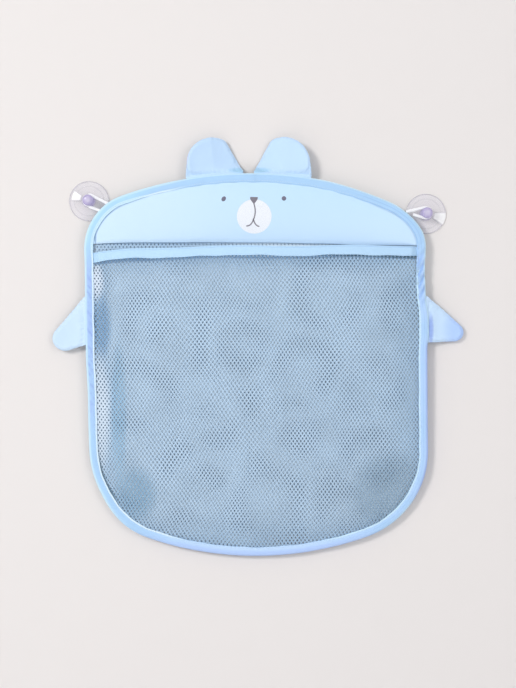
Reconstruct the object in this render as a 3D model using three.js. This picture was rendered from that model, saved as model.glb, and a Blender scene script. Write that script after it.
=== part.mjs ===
// A wall-hung mesh organizer for bath toys, cut like a round-headed animal.
// Millimetres, +Z up. The wall is the plane y = 0 and the bag hangs in front of it, towards -Y.
// The origin lies on the wall, on the bag's centre line, level with the middle of the two cups.
import * as THREE from 'three';

// Bag outline, measured on the outer fold of the edge binding
const bagWidth = 350;
const bagHeight = 390;
const headRise = 33.4; // from the origin up to the top of the head
const headArcRadius = 390;
const shoulderRadius = 59;
const cornerRadius = 95;
const footArcRadius = 335;

// Cloth, net, foam and the seams between them
const clothThickness = 0.6;
const netThickness = 0.7;
const foamThickness = 1.4;
const seamGap = 0.3;
const seamAllowance = 1.5; // from the binding's outer fold in to the edge of a panel

// Edge binding
const bindingWidth = 9.2;
const bindingFold = 1.1; // chamfer of the outer fold

// Head panel
const hemDrop = 37.2; // from the origin down to the free lower hem
const foamHemMargin = 6;
const foamEdgeMargin = 2;

// Net
const gapPitchX = 32;
const gapPitchZ = 48;
const strandWidth = 4.4;
const netMargin = 5; // plain net between the gaps and the seams

// Pouch mouth and belly
const mouthDrop = 48.5; // from the origin down to the sewn ends of the mouth band
const mouthBandHeight = 10;
const mouthBow = 17;
const mouthTilt = THREE.MathUtils.degToRad(5);
const mouthSwing = THREE.MathUtils.degToRad(40);
const bellySwell = 40;
const netHemLap = 1; // plain net that shows below the mouth band
const mouthFade = 26; // height over which the net settles back to the seams

// Ears and arms: two cloths with soft padding between them
const flapPuff = 4;
const flapFlat = 3; // flat strip along the fold line
const flapRamp = 8; // from the flat strip to the full puff
const earBase = 60;
const earRoundRadius = 27.5;
const earRoundRise = 10.3;
const earCornerRadius = 8;
const earCornerTurn = THREE.MathUtils.degToRad(116);
const armDrop = 116; // from the origin down to the middle of the arm's fold line
const armBase = 49;
const armTipRadius = 12.5;
const leftArmReach = 19.5; // from the fold line out to the tip's centre
const rightArmReach = 24.5;
const leftArmSag = 17; // from the middle of the fold line down to the tip's centre
const rightArmSag = 11.5;

// Elastic cord loops and suction cups
const cordDiameter = 2.3;
const leftLoopFeet = 10.9; // between a loop's two sewn ends
const rightLoopFeet = 7.3;
const leftLoopReach = 17.7; // from the binding out to the cup's centre
const rightLoopReach = 12.9;
const cupRadius = 20.5;
const cupLipThickness = 1.2;
const cupSealWidth = 5;
const cupHollow = 1.2;
const cupDomeHeight = 9.1;
const cupNeckRadius = 4.3;
const cupKnobRadius = 5.6;
const cupKnobHeight = 4.6;

// Round forms as shares of the sizes that they follow: [outwards, upwards]
const domeShares = [[0.72, 0.16], [0.45, 0.36], [0.2, 0.66], [0.06, 0.88]];
const knobShares = [[0.96, 0.06], [1, 0.3], [0.93, 0.62], [0.68, 0.9]];
const leastGapShare = 0.2; // smaller cut-off gaps are left out
const netDrawShare = 0.012;
const netTopShare = 0.965; // width of the gaps' top row, of the mouth band's length
const rootReachShare = 0.87; // how far a flap's rounded root reaches past its fold line
const cordFootShare = 0.6; // how far a cord's foot reaches past its swing line, of its radius
const clothShares = [1, 0.75, 0.5];
const paddingShares = [0.75, 0.5];

// The two sides of the bag, as it hangs
const sides = [
  {
    name: 'left', sign: -1, earTurn: 6.2, armReach: leftArmReach, armSag: leftArmSag,
    loopTurn: 49.4, loopFeet: leftLoopFeet, loopReach: leftLoopReach, loopLean: 24.4,
  },
  {
    name: 'right', sign: 1, earTurn: 4, armReach: rightArmReach, armSag: rightArmSag,
    loopTurn: 41.2, loopFeet: rightLoopFeet, loopReach: rightLoopReach, loopLean: 0.9,
  },
];

// How finely the round shapes are cut
const shoulderSteps = 7;
const headSteps = 14;
const cornerSteps = 9;
const footSteps = 14;
const mouthSteps = 24;
const flapSteps = 12;
const flapCornerSteps = 4;
const cordSides = 8;
const cordSteps = 30;
const neckSteps = 8;
const cupSegments = 28;
const circleTolerance = 1e6; // how many times finer than the bag's width a circle is judged

// Places that follow from the sizes above
const halfWidth = bagWidth / 2;
const headArcZ = headRise - headArcRadius;
const shoulderX = halfWidth - shoulderRadius;
const shoulderZ = headArcZ + Math.sqrt((headArcRadius - shoulderRadius) ** 2 - shoulderX ** 2);
const shoulderTurn = Math.atan2(shoulderZ - headArcZ, shoulderX);
const cornerX = halfWidth - cornerRadius;
const footArcZ = headRise - bagHeight + footArcRadius;
const cornerZ = footArcZ - Math.sqrt((footArcRadius - cornerRadius) ** 2 - cornerX ** 2);
const cornerTurn = Math.atan2(footArcZ - cornerZ, cornerX);

// Depths are distances from the wall
const cordRadius = cordDiameter / 2;
const neckLength = cordDiameter + 2 * seamGap;
const bagDepth = cupDomeHeight + neckLength / 2;
const channelHalf = (netThickness + foamThickness + clothThickness + 4 * seamGap) / 2;
const backNetDepth = bagDepth - channelHalf + seamGap;
const foamDepth = backNetDepth + netThickness + seamGap;
const headDepth = foamDepth + foamThickness + seamGap;
const netSeamDepth = bagDepth + channelHalf - seamGap - netThickness;

const innerFold = bindingWidth + seamGap; // inset of the first point clear of the binding
const mouthBandThickness = 2 * clothThickness + netThickness + 2 * seamGap;
const mouthBandHalfLength = halfWidth - innerFold;
const swingHeight = mouthBandHeight / 2 * Math.sin(mouthSwing);
const swingReach = swingHeight + mouthBandThickness / 2 * Math.cos(mouthSwing);
const mouthAxisDepth = backNetDepth + netThickness + swingReach + seamGap;
const flapRoot = seamGap / 2 + clothThickness; // half the thickness of a flap's sewn root
const flapHinge = flapRoot + seamGap; // from the binding out to a fold line
const rootReach = flapRoot * rootReachShare;

const colours = {
  net: 0x9dbbdb,
  cloth: 0xcfe6fc,
  tape: 0xb7d7f5,
  foam: 0xf1f3f2,
  cord: 0xfafafa,
  cup: 0xd9d4e2,
};

function cloth(colour, roughness = 0.85) {
  return new THREE.MeshStandardMaterial({ color: colour, roughness, metalness: 0 });
}

function arc(x, z, radius, from, to, steps) {
  return Array.from({ length: steps + 1 }, (_, i) => {
    const turn = from + (to - from) * i / steps;
    return new THREE.Vector2(x + radius * Math.cos(turn), z + radius * Math.sin(turn));
  });
}

// The head's outline from right to left, starting at the given turn of the right shoulder
function headLine(inset, from) {
  const radius = shoulderRadius - inset;
  return [
    ...arc(shoulderX, shoulderZ, radius, from, shoulderTurn, shoulderSteps),
    ...arc(0, headArcZ, headArcRadius - inset, shoulderTurn, Math.PI - shoulderTurn, headSteps).slice(1),
    ...arc(-shoulderX, shoulderZ, radius, Math.PI - shoulderTurn, Math.PI - from, shoulderSteps).slice(1),
  ];
}

// The lower outline from the left side round the foot to the right side
function footLine(inset) {
  const radius = cornerRadius - inset;
  const turn = Math.PI + cornerTurn;
  return [
    ...arc(-cornerX, cornerZ, radius, Math.PI, turn, cornerSteps),
    ...arc(0, footArcZ, footArcRadius - inset, turn, 3 * Math.PI - turn, footSteps).slice(1),
    ...arc(cornerX, cornerZ, radius, 3 * Math.PI - turn, 2 * Math.PI, cornerSteps).slice(1),
  ];
}

function bagLine(inset) {
  return [...headLine(inset, 0), ...footLine(inset)];
}

// Half the width of the outline at a height
function halfWidthAt(z, inset) {
  const shoulderTop = shoulderZ + (shoulderRadius - inset) * Math.sin(shoulderTurn);
  const cornerLow = cornerZ - (cornerRadius - inset) * Math.sin(cornerTurn);
  const roundHalf = (x, centreZ, radius) => {
    const squared = (radius - inset) ** 2 - (z - centreZ) ** 2;
    return x + Math.sqrt(Math.max(0, squared));
  };
  if (z > shoulderTop) return roundHalf(0, headArcZ, headArcRadius);
  if (z > shoulderZ) return roundHalf(shoulderX, shoulderZ, shoulderRadius);
  if (z > cornerZ) return halfWidth - inset;
  if (z > cornerLow) return roundHalf(cornerX, cornerZ, cornerRadius);
  return roundHalf(0, footArcZ, footArcRadius);
}

function indexedGeometry(positions, faces) {
  const geometry = new THREE.BufferGeometry();
  geometry.setAttribute('position', new THREE.Float32BufferAttribute(positions.flat(), 3));
  geometry.setIndex(faces.flat());
  geometry.computeVertexNormals();
  return geometry;
}

// A flat panel cut from sheet, standing upright with its back at the given depth
function panel(outline, gaps, depth, thickness) {
  const shape = new THREE.Shape(outline);
  shape.holes = gaps.map((gap) => new THREE.Path(gap));
  const geometry = new THREE.ExtrudeGeometry(shape, { depth: thickness, bevelEnabled: false });
  return geometry.rotateX(Math.PI / 2).translate(0, -depth, 0);
}

// The part of a polygon that lies inside a convex region, both counterclockwise
function clip(polygon, region) {
  let kept = polygon;
  region.forEach((start, i) => {
    const along = region[(i + 1) % region.length].clone().sub(start);
    const side = (p) => along.cross(p.clone().sub(start));
    const before = kept;
    kept = [];
    before.forEach((p, k) => {
      const next = before[(k + 1) % before.length];
      const [here, there] = [side(p), side(next)];
      if (here >= 0) kept.push(p);
      if (here * there < 0) kept.push(p.clone().lerp(next, here / (here - there)));
    });
  });
  return kept.filter((p, i) => p.distanceTo(kept.at(i - 1)) > seamGap);
}

// A hanging net draws in a little towards its top and foot
function drawIn(p) {
  const rise = (p.y - headRise) / (bagHeight / 2) + 1;
  return new THREE.Vector2(p.x * (1 - netDrawShare * rise ** 2), p.y);
}

// The diamond gaps of a net, cut off where they meet the edge of its open region
function netGaps(region) {
  const halfX = (gapPitchX - strandWidth) / 2;
  const halfZ = halfX * gapPitchZ / gapPitchX;
  const rows = Math.ceil(bagHeight / gapPitchZ);
  const columns = Math.ceil(halfWidth / gapPitchX);
  const gaps = [];
  for (let row = -rows; row <= rows; row += 1) {
    for (let column = -columns; column <= columns; column += 1) {
      const x = (column + (row % 2 ? 0.5 : 0)) * gapPitchX;
      const z = headRise + (row * gapPitchZ - bagHeight) / 2;
      const corners = [[halfX, 0], [0, halfZ], [-halfX, 0], [0, -halfZ]];
      const gap = clip(corners.map(([dx, dz]) => new THREE.Vector2(x + dx, z + dz)), region);
      const isWide = gap.length > 2 && THREE.ShapeUtils.area(gap) > leastGapShare * 2 * halfX * halfZ;
      if (isWide) gaps.push(gap.reverse().map(drawIn));
    }
  }
  return gaps;
}

function backMesh() {
  const gaps = netGaps(bagLine(innerFold + netMargin));
  return panel(bagLine(seamAllowance), gaps, backNetDepth, netThickness);
}

// The head's outline above a straight lower edge
function headOutline(inset, edgeZ) {
  return headLine(inset, Math.asin((edgeZ - shoulderZ) / (shoulderRadius - inset)));
}

function headPanel() {
  return panel(headOutline(seamAllowance, -hemDrop), [], headDepth, clothThickness);
}

function headStiffener() {
  const outline = headOutline(seamAllowance + foamEdgeMargin, foamHemMargin - hemDrop);
  return panel(outline, [], foamDepth, foamThickness);
}

// A folded tape round the whole outline: its section, as inset and depth, is carried along the outline
function perimeterBinding() {
  const outer = channelHalf + clothThickness;
  const section = [
    [bindingWidth, outer], [bindingWidth, channelHalf],
    [clothThickness, channelHalf], [clothThickness, -channelHalf],
    [bindingWidth, -channelHalf], [bindingWidth, -outer],
    [bindingFold, -outer], [0, bindingFold - outer],
    [0, outer - bindingFold], [bindingFold, outer],
  ];
  const rings = section.map(([inset, depth]) => bagLine(inset).map((p) => [p.x, -bagDepth - depth, p.y]));
  const count = rings[0].length;
  const faces = [];
  rings.forEach((_, ring) => {
    const next = (ring + 1) % rings.length;
    for (let i = 0; i < count; i += 1) {
      const j = (i + 1) % count;
      const [a, b, c, d] = [ring * count + i, ring * count + j, next * count + j, next * count + i];
      faces.push([a, b, c], [a, c, d]);
    }
  });
  return indexedGeometry(rings.flat(), faces);
}

function mouthBowAt(x) {
  return mouthBow * (1 - (x / mouthBandHalfLength) ** 2);
}

// Tape folded over the top edge of the pouch net and bowed forward between its sewn ends
function pouchMouthBand() {
  const [half, top] = [mouthBandThickness / 2, mouthBandHeight / 2];
  const inner = half - clothThickness;
  const section = [
    [-half, -top], [-half, top], [half, top], [half, -top],
    [inner, -top], [inner, top - clothThickness], [-inner, top - clothThickness], [-inner, -top],
  ];
  const shape = new THREE.Shape(section.map(([depth, z]) => new THREE.Vector2(-depth, z)).reverse());
  const settings = { depth: 2 * mouthBandHalfLength, steps: mouthSteps, bevelEnabled: false };
  const geometry = new THREE.ExtrudeGeometry(shape, settings);
  const places = geometry.attributes.position;
  for (let i = 0; i < places.count; i += 1) {
    const x = places.getZ(i) - mouthBandHalfLength;
    const bow = mouthBowAt(x);
    const y = places.getX(i) - mouthAxisDepth - bow * Math.cos(mouthTilt);
    places.setXYZ(i, x, y, places.getY(i) - mouthDrop + bow * Math.sin(mouthTilt));
  }
  geometry.computeVertexNormals();
  return geometry;
}

// Depth of the pouch net's back face: parabolas across, swelling and closing down the bag
function bellyDepth(x, z) {
  const topZ = hemLowZ(mouthBandHalfLength);
  const drop = Math.max(0, (topZ - z) / (topZ - (headRise - bagHeight + innerFold)));
  const across = 1 - Math.min(1, Math.abs(x) / halfWidthAt(Math.min(z, topZ), innerFold)) ** 2;
  const hemStep = mouthAxisDepth - netThickness / 2 - netSeamDepth;
  const lift = hemStep * Math.max(0, 1 - (topZ - z) / mouthFade);
  const swell = (1 - drop ** 2) * (mouthBow * Math.cos(mouthTilt) + bellySwell * drop);
  return netSeamDepth + lift + across * swell;
}

function hemLowZ(x) {
  return mouthBowAt(x) * Math.sin(mouthTilt) - mouthDrop - mouthBandHeight / 2 - netHemLap;
}

// The two edges of the net's strip inside the mouth band, from left to right
function hemLine(rise) {
  return Array.from({ length: mouthSteps + 1 }, (_, i) => {
    const end = mouthBandHalfLength;
    const x = 2 * end * i / mouthSteps - end;
    const depth = mouthAxisDepth - netThickness / 2 + mouthBowAt(x) * Math.cos(mouthTilt);
    return { x, z: hemLowZ(x) + rise, depth };
  });
}

// A path down the left side, round the foot and up the right side, at the seam's depth
function pouchSide(inset) {
  const x = halfWidth - inset;
  const top = hemLowZ(mouthBandHalfLength) - netHemLap;
  const line = [new THREE.Vector2(-x, top), ...footLine(inset), new THREE.Vector2(x, top)];
  return line.map((p) => ({ x: p.x, z: p.y, depth: netSeamDepth }));
}

function strip(first, second, count) {
  const faces = [];
  for (let i = 0; i < count - 1; i += 1) {
    faces.push([first + i, first + i + 1, second + i + 1], [first + i, second + i + 1, second + i]);
  }
  return faces;
}

// A closed solid from a sheet of points, joined by faces that run counterclockwise seen from the front
function thickSheet(points, faces, thickness) {
  const count = points.length;
  const front = points.map((p) => [p.x, -p.depth - thickness, p.z]);
  const back = points.map((p) => [p.x, -p.depth, p.z]);
  const edges = new Set(faces.flatMap(([a, b, c]) => [`${a},${b}`, `${b},${c}`, `${c},${a}`]));
  const walls = [];
  for (const edge of edges) {
    const [a, b] = edge.split(',').map(Number);
    if (!edges.has(`${b},${a}`)) walls.push([a, a + count, b + count], [a, b + count, b]);
  }
  const rear = faces.map(([a, b, c]) => [a + count, c + count, b + count]);
  return indexedGeometry([...front, ...back], [...faces, ...rear, ...walls]);
}

// Whether d lies inside the circle through a, b and c, which run counterclockwise
function isInCircle([a, b, c, d]) {
  const [p, q, r] = [a, b, c].map((point) => point.clone().sub(d));
  const sum = p.lengthSq() * q.cross(r) + q.lengthSq() * r.cross(p) + r.lengthSq() * p.cross(q);
  return sum > bagWidth / circleTolerance;
}

// Turns the shared edges of neighbouring triangles until none is a needless sliver
function evenOut(points, triangles) {
  const faces = triangles.map((face) => [...face]);
  let turned = true;
  while (turned) {
    turned = false;
    const edgesOf = (face, i) => face.map((a, k) => [`${a},${face[(k + 1) % 3]}`, i]);
    const owners = new Map(faces.flatMap(edgesOf));
    const done = new Set();
    for (const [edge, i] of owners) {
      const [a, b] = edge.split(',').map(Number);
      const j = owners.get(`${b},${a}`);
      if (j === undefined || done.has(i) || done.has(j)) continue;
      const [c, d] = [i, j].map((k) => faces[k].find((corner) => corner !== a && corner !== b));
      if (!isInCircle([a, b, c, d].map((k) => points[k]))) continue;
      [faces[i], faces[j]] = [[c, a, d], [c, d, b]];
      done.add(i).add(j);
      turned = true;
    }
  }
  return faces;
}

// The slack net of the pouch: a seam strip, a hem strip and the belly with its gaps between them
function pouchFrontMesh() {
  const [outer, inner] = [pouchSide(seamAllowance), pouchSide(innerFold)];
  const low = hemLine(0).reverse();
  const high = hemLine(netHemLap + mouthBandHeight - clothThickness - seamGap).reverse();
  const flat = (p) => new THREE.Vector2(p.x, p.z);
  const top = low.map((p) => new THREE.Vector2(p.x * netTopShare, p.z - netMargin));
  const gaps = netGaps([...pouchSide(innerFold + netMargin).slice(1, -1).map(flat), ...top]);
  const gapPoints = gaps.flat().map((p) => ({ x: p.x, z: p.y, depth: bellyDepth(p.x, p.y) }));
  const points = [...outer, ...inner, ...low, ...high, ...gapPoints];

  const [innerStart, lowStart] = [outer.length, outer.length + inner.length];
  const highStart = lowStart + low.length;
  const contour = [...inner, ...low].map(flat);
  const belly = evenOut([...contour, ...gaps.flat()], THREE.ShapeUtils.triangulateShape(contour, gaps));
  // The hem's upper edge lies between the contour and the gaps in the list of points
  const place = (i) => innerStart + i + (i < contour.length ? 0 : high.length);
  const faces = [
    ...strip(0, innerStart, outer.length),
    ...strip(highStart, lowStart, low.length),
    ...belly.map((face) => face.map(place)),
  ];
  return thickSheet(points, faces, netThickness);
}

// Turn at which a line from a point touches a circle, on its left (+1) or right (-1) seen from the point
function touchTurn(point, centre, radius, hand) {
  const away = point.clone().sub(centre);
  return away.angle() - hand * Math.acos(radius / away.length());
}

// Outlines of the flaps run counterclockwise from the right end of the fold line, which is v = 0
function earOutline() {
  const [right, left] = [1, -1].map((end) => new THREE.Vector2(end * earBase / 2, -rootReach));
  const round = new THREE.Vector2(0, earRoundRise);
  const cornerArm = new THREE.Vector2(earRoundRadius - earCornerRadius, 0);
  const corner = cornerArm.rotateAround(new THREE.Vector2(), earCornerTurn).add(round);
  const start = touchTurn(right, round, earRoundRadius, -1) - 2 * Math.PI;
  const end = touchTurn(left, corner, earCornerRadius, 1);
  return [
    right,
    ...arc(round.x, round.y, earRoundRadius, start, earCornerTurn, flapSteps),
    ...arc(corner.x, corner.y, earCornerRadius, earCornerTurn, end, flapCornerSteps).slice(1),
    left,
  ];
}

// The arm's round tip hangs below the middle of its fold line
function armOutline({ armReach, armSag }) {
  const [right, left] = [1, -1].map((end) => new THREE.Vector2(end * armBase / 2, -rootReach));
  const tip = new THREE.Vector2(armSag, armReach);
  const start = touchTurn(right, tip, armTipRadius, -1) - 2 * Math.PI;
  const end = touchTurn(left, tip, armTipRadius, 1);
  return [right, ...arc(tip.x, tip.y, armTipRadius, start, end, flapSteps), left];
}

// Distance from the flap's middle plane to the inside of either cloth, at a share of the way out
function puffAt(share, v) {
  const taper = Math.min(1, Math.max(0, v - flapFlat) / flapRamp);
  return seamGap / 2 + flapPuff * (1 - share ** 2) * taper;
}

// A layer of a flap: rings of the outline drawn in to its middle, between two offsets from the middle plane
function flapLayer(outline, shares, nearOffset, farOffset) {
  const middle = outline.reduce((sum, p) => sum.add(p), new THREE.Vector2()).divideScalar(outline.length);
  const rings = shares.map((share) => outline.map((p) => middle.clone().lerp(p, share)));
  const surface = (offset) => [
    ...rings.flatMap((ring, k) => ring.map((p) => [p.x, -offset(shares[k], p.y), p.y])),
    [middle.x, -offset(0, middle.y), middle.y],
  ];
  const count = outline.length;
  const last = (rings.length - 1) * count;
  const tip = rings.length * count;
  const faces = [];
  for (let i = 0; i < count; i += 1) {
    const j = (i + 1) % count;
    for (let ring = 0; ring < last; ring += count) {
      const [a, b, c, d] = [ring + i, ring + j, ring + count + j, ring + count + i];
      faces.push([a, b, c], [a, c, d]);
    }
    faces.push([last + i, last + j, tip]);
  }
  const rear = faces.map(([a, b, c]) => [a + tip + 1, c + tip + 1, b + tip + 1]);
  const rim = [];
  for (let i = 0; i < count; i += 1) {
    const j = (i + 1) % count;
    rim.push([i, i + tip + 1, j + tip + 1], [i, j + tip + 1, j]);
  }
  return indexedGeometry([...surface(farOffset), ...surface(nearOffset)], [...faces, ...rear, ...rim]);
}

// An ear or arm: front cloth, padding and back cloth, mirrored for the left side
function flap(name, outline, sign) {
  const line = sign > 0 ? outline : outline.map((p) => new THREE.Vector2(-p.x, p.y)).reverse();
  const inside = puffAt;
  const rootAt = (v) => Math.sqrt(flapRoot ** 2 - v ** 2);
  const outside = (share, v) => (v < 0 ? rootAt(v) : puffAt(share, v) + clothThickness);
  const filled = (share, v) => puffAt(share, v) - seamGap;
  const behind = (offset) => (share, v) => -offset(share, v);
  const layers = {
    front: flapLayer(line, clothShares, inside, outside),
    padding: flapLayer(line, paddingShares, behind(filled), filled),
    back: flapLayer(line, clothShares, behind(outside), behind(inside)),
  };
  const group = new THREE.Group();
  for (const [layer, geometry] of Object.entries(layers)) {
    const material = layer === 'padding' ? cloth(colours.foam, 1) : cloth(colours.cloth);
    group.add(mesh(`${name}_${layer}`, geometry, material));
  }
  return group;
}

function mesh(name, geometry, material) {
  const part = new THREE.Mesh(geometry, material);
  part.name = name;
  return part;
}

function ear(side) {
  const turn = THREE.MathUtils.degToRad(side.earTurn) * side.sign;
  const reach = headArcRadius + flapHinge;
  const group = flap(`ear_${side.name}`, earOutline(), side.sign);
  group.position.set(reach * Math.sin(turn), -bagDepth, headArcZ + reach * Math.cos(turn));
  group.rotation.y = turn;
  return group;
}

function arm(side) {
  const group = flap(`arm_${side.name}`, armOutline(side), side.sign);
  group.position.set(side.sign * (halfWidth + flapHinge), -bagDepth, -armDrop);
  group.rotation.y = side.sign * Math.PI / 2;
  return group;
}

// Places of a hanging loop: its seam on the shoulder, its two sewn feet and the cup's neck
function hanging(side) {
  const turn = THREE.MathUtils.degToRad(side.loopTurn);
  const lean = THREE.MathUtils.degToRad(side.loopLean);
  const out = new THREE.Vector2(side.sign * Math.cos(turn), Math.sin(turn));
  const seamReach = Math.sqrt((shoulderRadius + cordRadius + seamGap) ** 2 - (side.loopFeet / 2) ** 2);
  const seam = new THREE.Vector2(side.sign * shoulderX, shoulderZ).addScaledVector(out, seamReach);
  const along = new THREE.Vector2(side.sign * out.y, -side.sign * out.x);
  const feet = [-1, 1].map((end) => seam.clone().addScaledVector(along, end * side.loopFeet / 2));
  const reach = new THREE.Vector2(side.sign * Math.cos(lean), Math.sin(lean)).multiplyScalar(side.loopReach);
  const neck = seam.clone().add(reach);
  return { feet, neck };
}

// A cord sewn down at both ends and led once round the cup's neck
function cordLoop(side) {
  const { feet, neck } = hanging(side);
  const radius = cupNeckRadius + seamGap + cordRadius;
  const start = touchTurn(feet[1], neck, radius, -side.sign);
  const end = touchTurn(feet[0], neck, radius, side.sign);
  const sweep = THREE.MathUtils.euclideanModulo((end - start) * side.sign, 2 * Math.PI) * side.sign;
  const round = arc(neck.x, neck.y, radius, start, start + sweep, neckSteps);
  const footLap = cordRadius * cordFootShare;
  const lapped = (top, foot) => foot.clone().sub(top).setLength(footLap).add(foot);
  const leg = (top, foot) => [lapped(top, foot), top.clone().lerp(foot, 0.5)];
  const route = [...leg(round[0], feet[1]), ...round, ...leg(round.at(-1), feet[0]).reverse()];
  const path = new THREE.CatmullRomCurve3(route.map((p) => new THREE.Vector3(p.x, -bagDepth, p.y)));
  const section = new THREE.Shape(arc(0, 0, cordRadius, 0, 2 * Math.PI, cordSides).slice(1));
  const geometry = new THREE.ExtrudeGeometry(section, { extrudePath: path, steps: cordSteps });
  return mesh(`cord_loop_${side.name}`, geometry, cloth(colours.cord, 0.7));
}

// A cup pressed flat on the wall: sealing lip, dome, neck for the cord and a round knob
function suctionCup(side) {
  const neckTop = cupDomeHeight + neckLength;
  const top = neckTop + cupKnobHeight;
  const slope = cupRadius - cupNeckRadius;
  const rise = cupDomeHeight - cupLipThickness;
  const dome = domeShares.map(([out, up]) => [cupNeckRadius + slope * out, cupLipThickness + rise * up]);
  const knob = knobShares.map(([out, up]) => [cupKnobRadius * out, neckTop + cupKnobHeight * up]);
  const profile = [
    [0, cupHollow], [cupRadius - cupSealWidth - cupHollow, cupHollow], [cupRadius - cupSealWidth, 0],
    [cupRadius, 0], [cupRadius, cupLipThickness], ...dome,
    [cupNeckRadius, cupDomeHeight], [cupNeckRadius, neckTop], ...knob, [0, top],
  ];
  const points = profile.map(([r, depth]) => new THREE.Vector2(r, depth));
  const material = new THREE.MeshStandardMaterial({ color: colours.cup, roughness: 0.15, metalness: 0 });
  const part = mesh(`suction_cup_${side.name}`, new THREE.LatheGeometry(points, cupSegments), material);
  const { neck } = hanging(side);
  part.rotation.x = Math.PI;
  part.position.set(neck.x, 0, neck.y);
  return part;
}

const organizer = new THREE.Group();
organizer.add(
  mesh('back_mesh', backMesh(), cloth(colours.net)),
  mesh('head_stiffener', headStiffener(), cloth(colours.foam, 1)),
  mesh('head_panel', headPanel(), cloth(colours.cloth)),
  mesh('pouch_front_mesh', pouchFrontMesh(), cloth(colours.net)),
  mesh('pouch_mouth_band', pouchMouthBand(), cloth(colours.tape)),
  mesh('perimeter_binding', perimeterBinding(), cloth(colours.tape)),
);
for (const side of sides) {
  organizer.add(ear(side), arm(side), cordLoop(side), suctionCup(side));
}

export default organizer;
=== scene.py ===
import math
import bpy
import numpy as np
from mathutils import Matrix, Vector
from mathutils.geometry import delaunay_2d_cdt


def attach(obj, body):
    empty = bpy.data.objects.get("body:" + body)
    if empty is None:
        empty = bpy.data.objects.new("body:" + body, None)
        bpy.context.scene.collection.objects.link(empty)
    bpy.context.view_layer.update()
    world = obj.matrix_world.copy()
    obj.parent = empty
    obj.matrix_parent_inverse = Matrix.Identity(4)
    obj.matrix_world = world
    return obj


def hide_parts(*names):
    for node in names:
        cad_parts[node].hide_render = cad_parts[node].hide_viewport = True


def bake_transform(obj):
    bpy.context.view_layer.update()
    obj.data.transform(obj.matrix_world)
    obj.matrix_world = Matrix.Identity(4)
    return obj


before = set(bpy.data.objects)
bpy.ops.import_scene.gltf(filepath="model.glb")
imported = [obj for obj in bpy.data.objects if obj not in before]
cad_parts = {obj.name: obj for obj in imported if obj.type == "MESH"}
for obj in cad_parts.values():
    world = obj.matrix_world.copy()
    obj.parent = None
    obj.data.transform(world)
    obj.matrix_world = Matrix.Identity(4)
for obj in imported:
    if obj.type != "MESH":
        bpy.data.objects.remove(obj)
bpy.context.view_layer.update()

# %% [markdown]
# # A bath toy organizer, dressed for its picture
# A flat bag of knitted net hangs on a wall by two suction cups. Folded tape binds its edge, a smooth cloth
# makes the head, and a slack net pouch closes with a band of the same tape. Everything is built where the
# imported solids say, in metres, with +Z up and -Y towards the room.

MM = 0.001


def add(name, data):
    """Puts data into the scene as an object."""
    made = bpy.data.objects.new(name, data)
    bpy.context.scene.collection.objects.link(made)
    return made


# %% [markdown]
# ## Camera
# The photo looks straight at the wall. One pixel of it is 1.02 mm on the bag, so the long side of the frame
# spans 702 mm at the bag's middle depth. A camera 1.5 m away with a 77 mm lens gives that.

# %% Camera
CAMERA_PLACE, SENSOR_MM, LENS_MM = (0.002, -1.51, -0.1402), 36, 76.94
camera_data = bpy.data.cameras.new("photo_camera")
camera_data.sensor_width, camera_data.lens = SENSOR_MM, LENS_MM
camera = add("photo_camera", camera_data)
camera.location, camera.rotation_euler = CAMERA_PLACE, (math.pi / 2, 0, 0)
bpy.context.scene.camera = camera

# %% [markdown]
# ## Short words for arrays
# Most pieces are worked out as arrays of points in millimetres: across, depth towards the room, and up. The
# steps that come back all the time have names.

# %% Ramps, humps and rows
def ramp(values, start, end):
    """0 at start and before it, 1 at end and after it, straight between. start may be above end."""
    return np.clip((values - start) / (end - start), 0, 1)


def soft(share):
    return share * share * (3 - 2 * share)


def hump(values, middle, reach, power=2):
    """1 at its middle, falling off to both sides."""
    return np.exp(-((values - middle) / reach) ** power)


def fading(distance, reach):
    """1 at distance 0, less and less beyond it."""
    return np.exp(-distance / reach)


def rows_of(*parts):
    """Numbers and arrays side by side, stretched to the same size."""
    return np.stack(np.broadcast_arrays(*parts), -1)


def at_depth(flat, depth):
    """Rows of x, depth and z from flat points."""
    return rows_of(flat[..., 0], depth, flat[..., 1])


def way_along(path):
    """How far along a path each of its points lies."""
    return np.concatenate([[0], np.cumsum(np.linalg.norm(np.diff(path, axis=0), axis=1))])


def way_and_side(path):
    """The way of a flat path at each point, and the way to its left."""
    ways = np.gradient(path, axis=0)
    ways /= np.linalg.norm(ways, axis=1)[:, None]
    return ways, rows_of(-ways[:, 1], ways[:, 0])


# %% [markdown]
# ## Shader maths in plain Python
# Node trees are easier to read as expressions. `Value` wraps a socket that carries a number, and Python's
# own signs add the Math nodes. `Finish` makes one material, and its `node` method adds any other node.

# %% Values that can be worked on
def maths_node(operation):
    """A method that adds one Math node."""
    return lambda self, *others: self.finish.node(
        "ShaderNodeMath", {"operation": operation}, dict(enumerate([self, *others])))


class Value:
    """A number that a node puts out."""
    __add__ = __radd__ = maths_node("ADD")
    __mul__ = __rmul__ = maths_node("MULTIPLY")
    __sub__, __truediv__, __pow__ = maths_node("SUBTRACT"), maths_node("DIVIDE"), maths_node("POWER")
    sine, bigger, smaller = maths_node("SINE"), maths_node("MAXIMUM"), maths_node("MINIMUM")

    def __init__(self, finish, socket):
        self.finish, self.socket = finish, socket

    def __rsub__(self, other):
        return self * -1 + other

    def step(self, start, end):
        """0 at start and before it, 1 at end and after it, with a smooth rise between."""
        inputs = {"Value": self, "From Min": start, "From Max": end}
        return self.finish.node("ShaderNodeMapRange", {"interpolation_type": "SMOOTHSTEP"}, inputs)

    def fall(self, start, end):
        """1 at start and before it, 0 at end and after it."""
        return 1 - self.step(start, end)

    def wave(self):
        """A sine that swings between 0 and 1."""
        return self.sine() * 0.5 + 0.5


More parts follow.
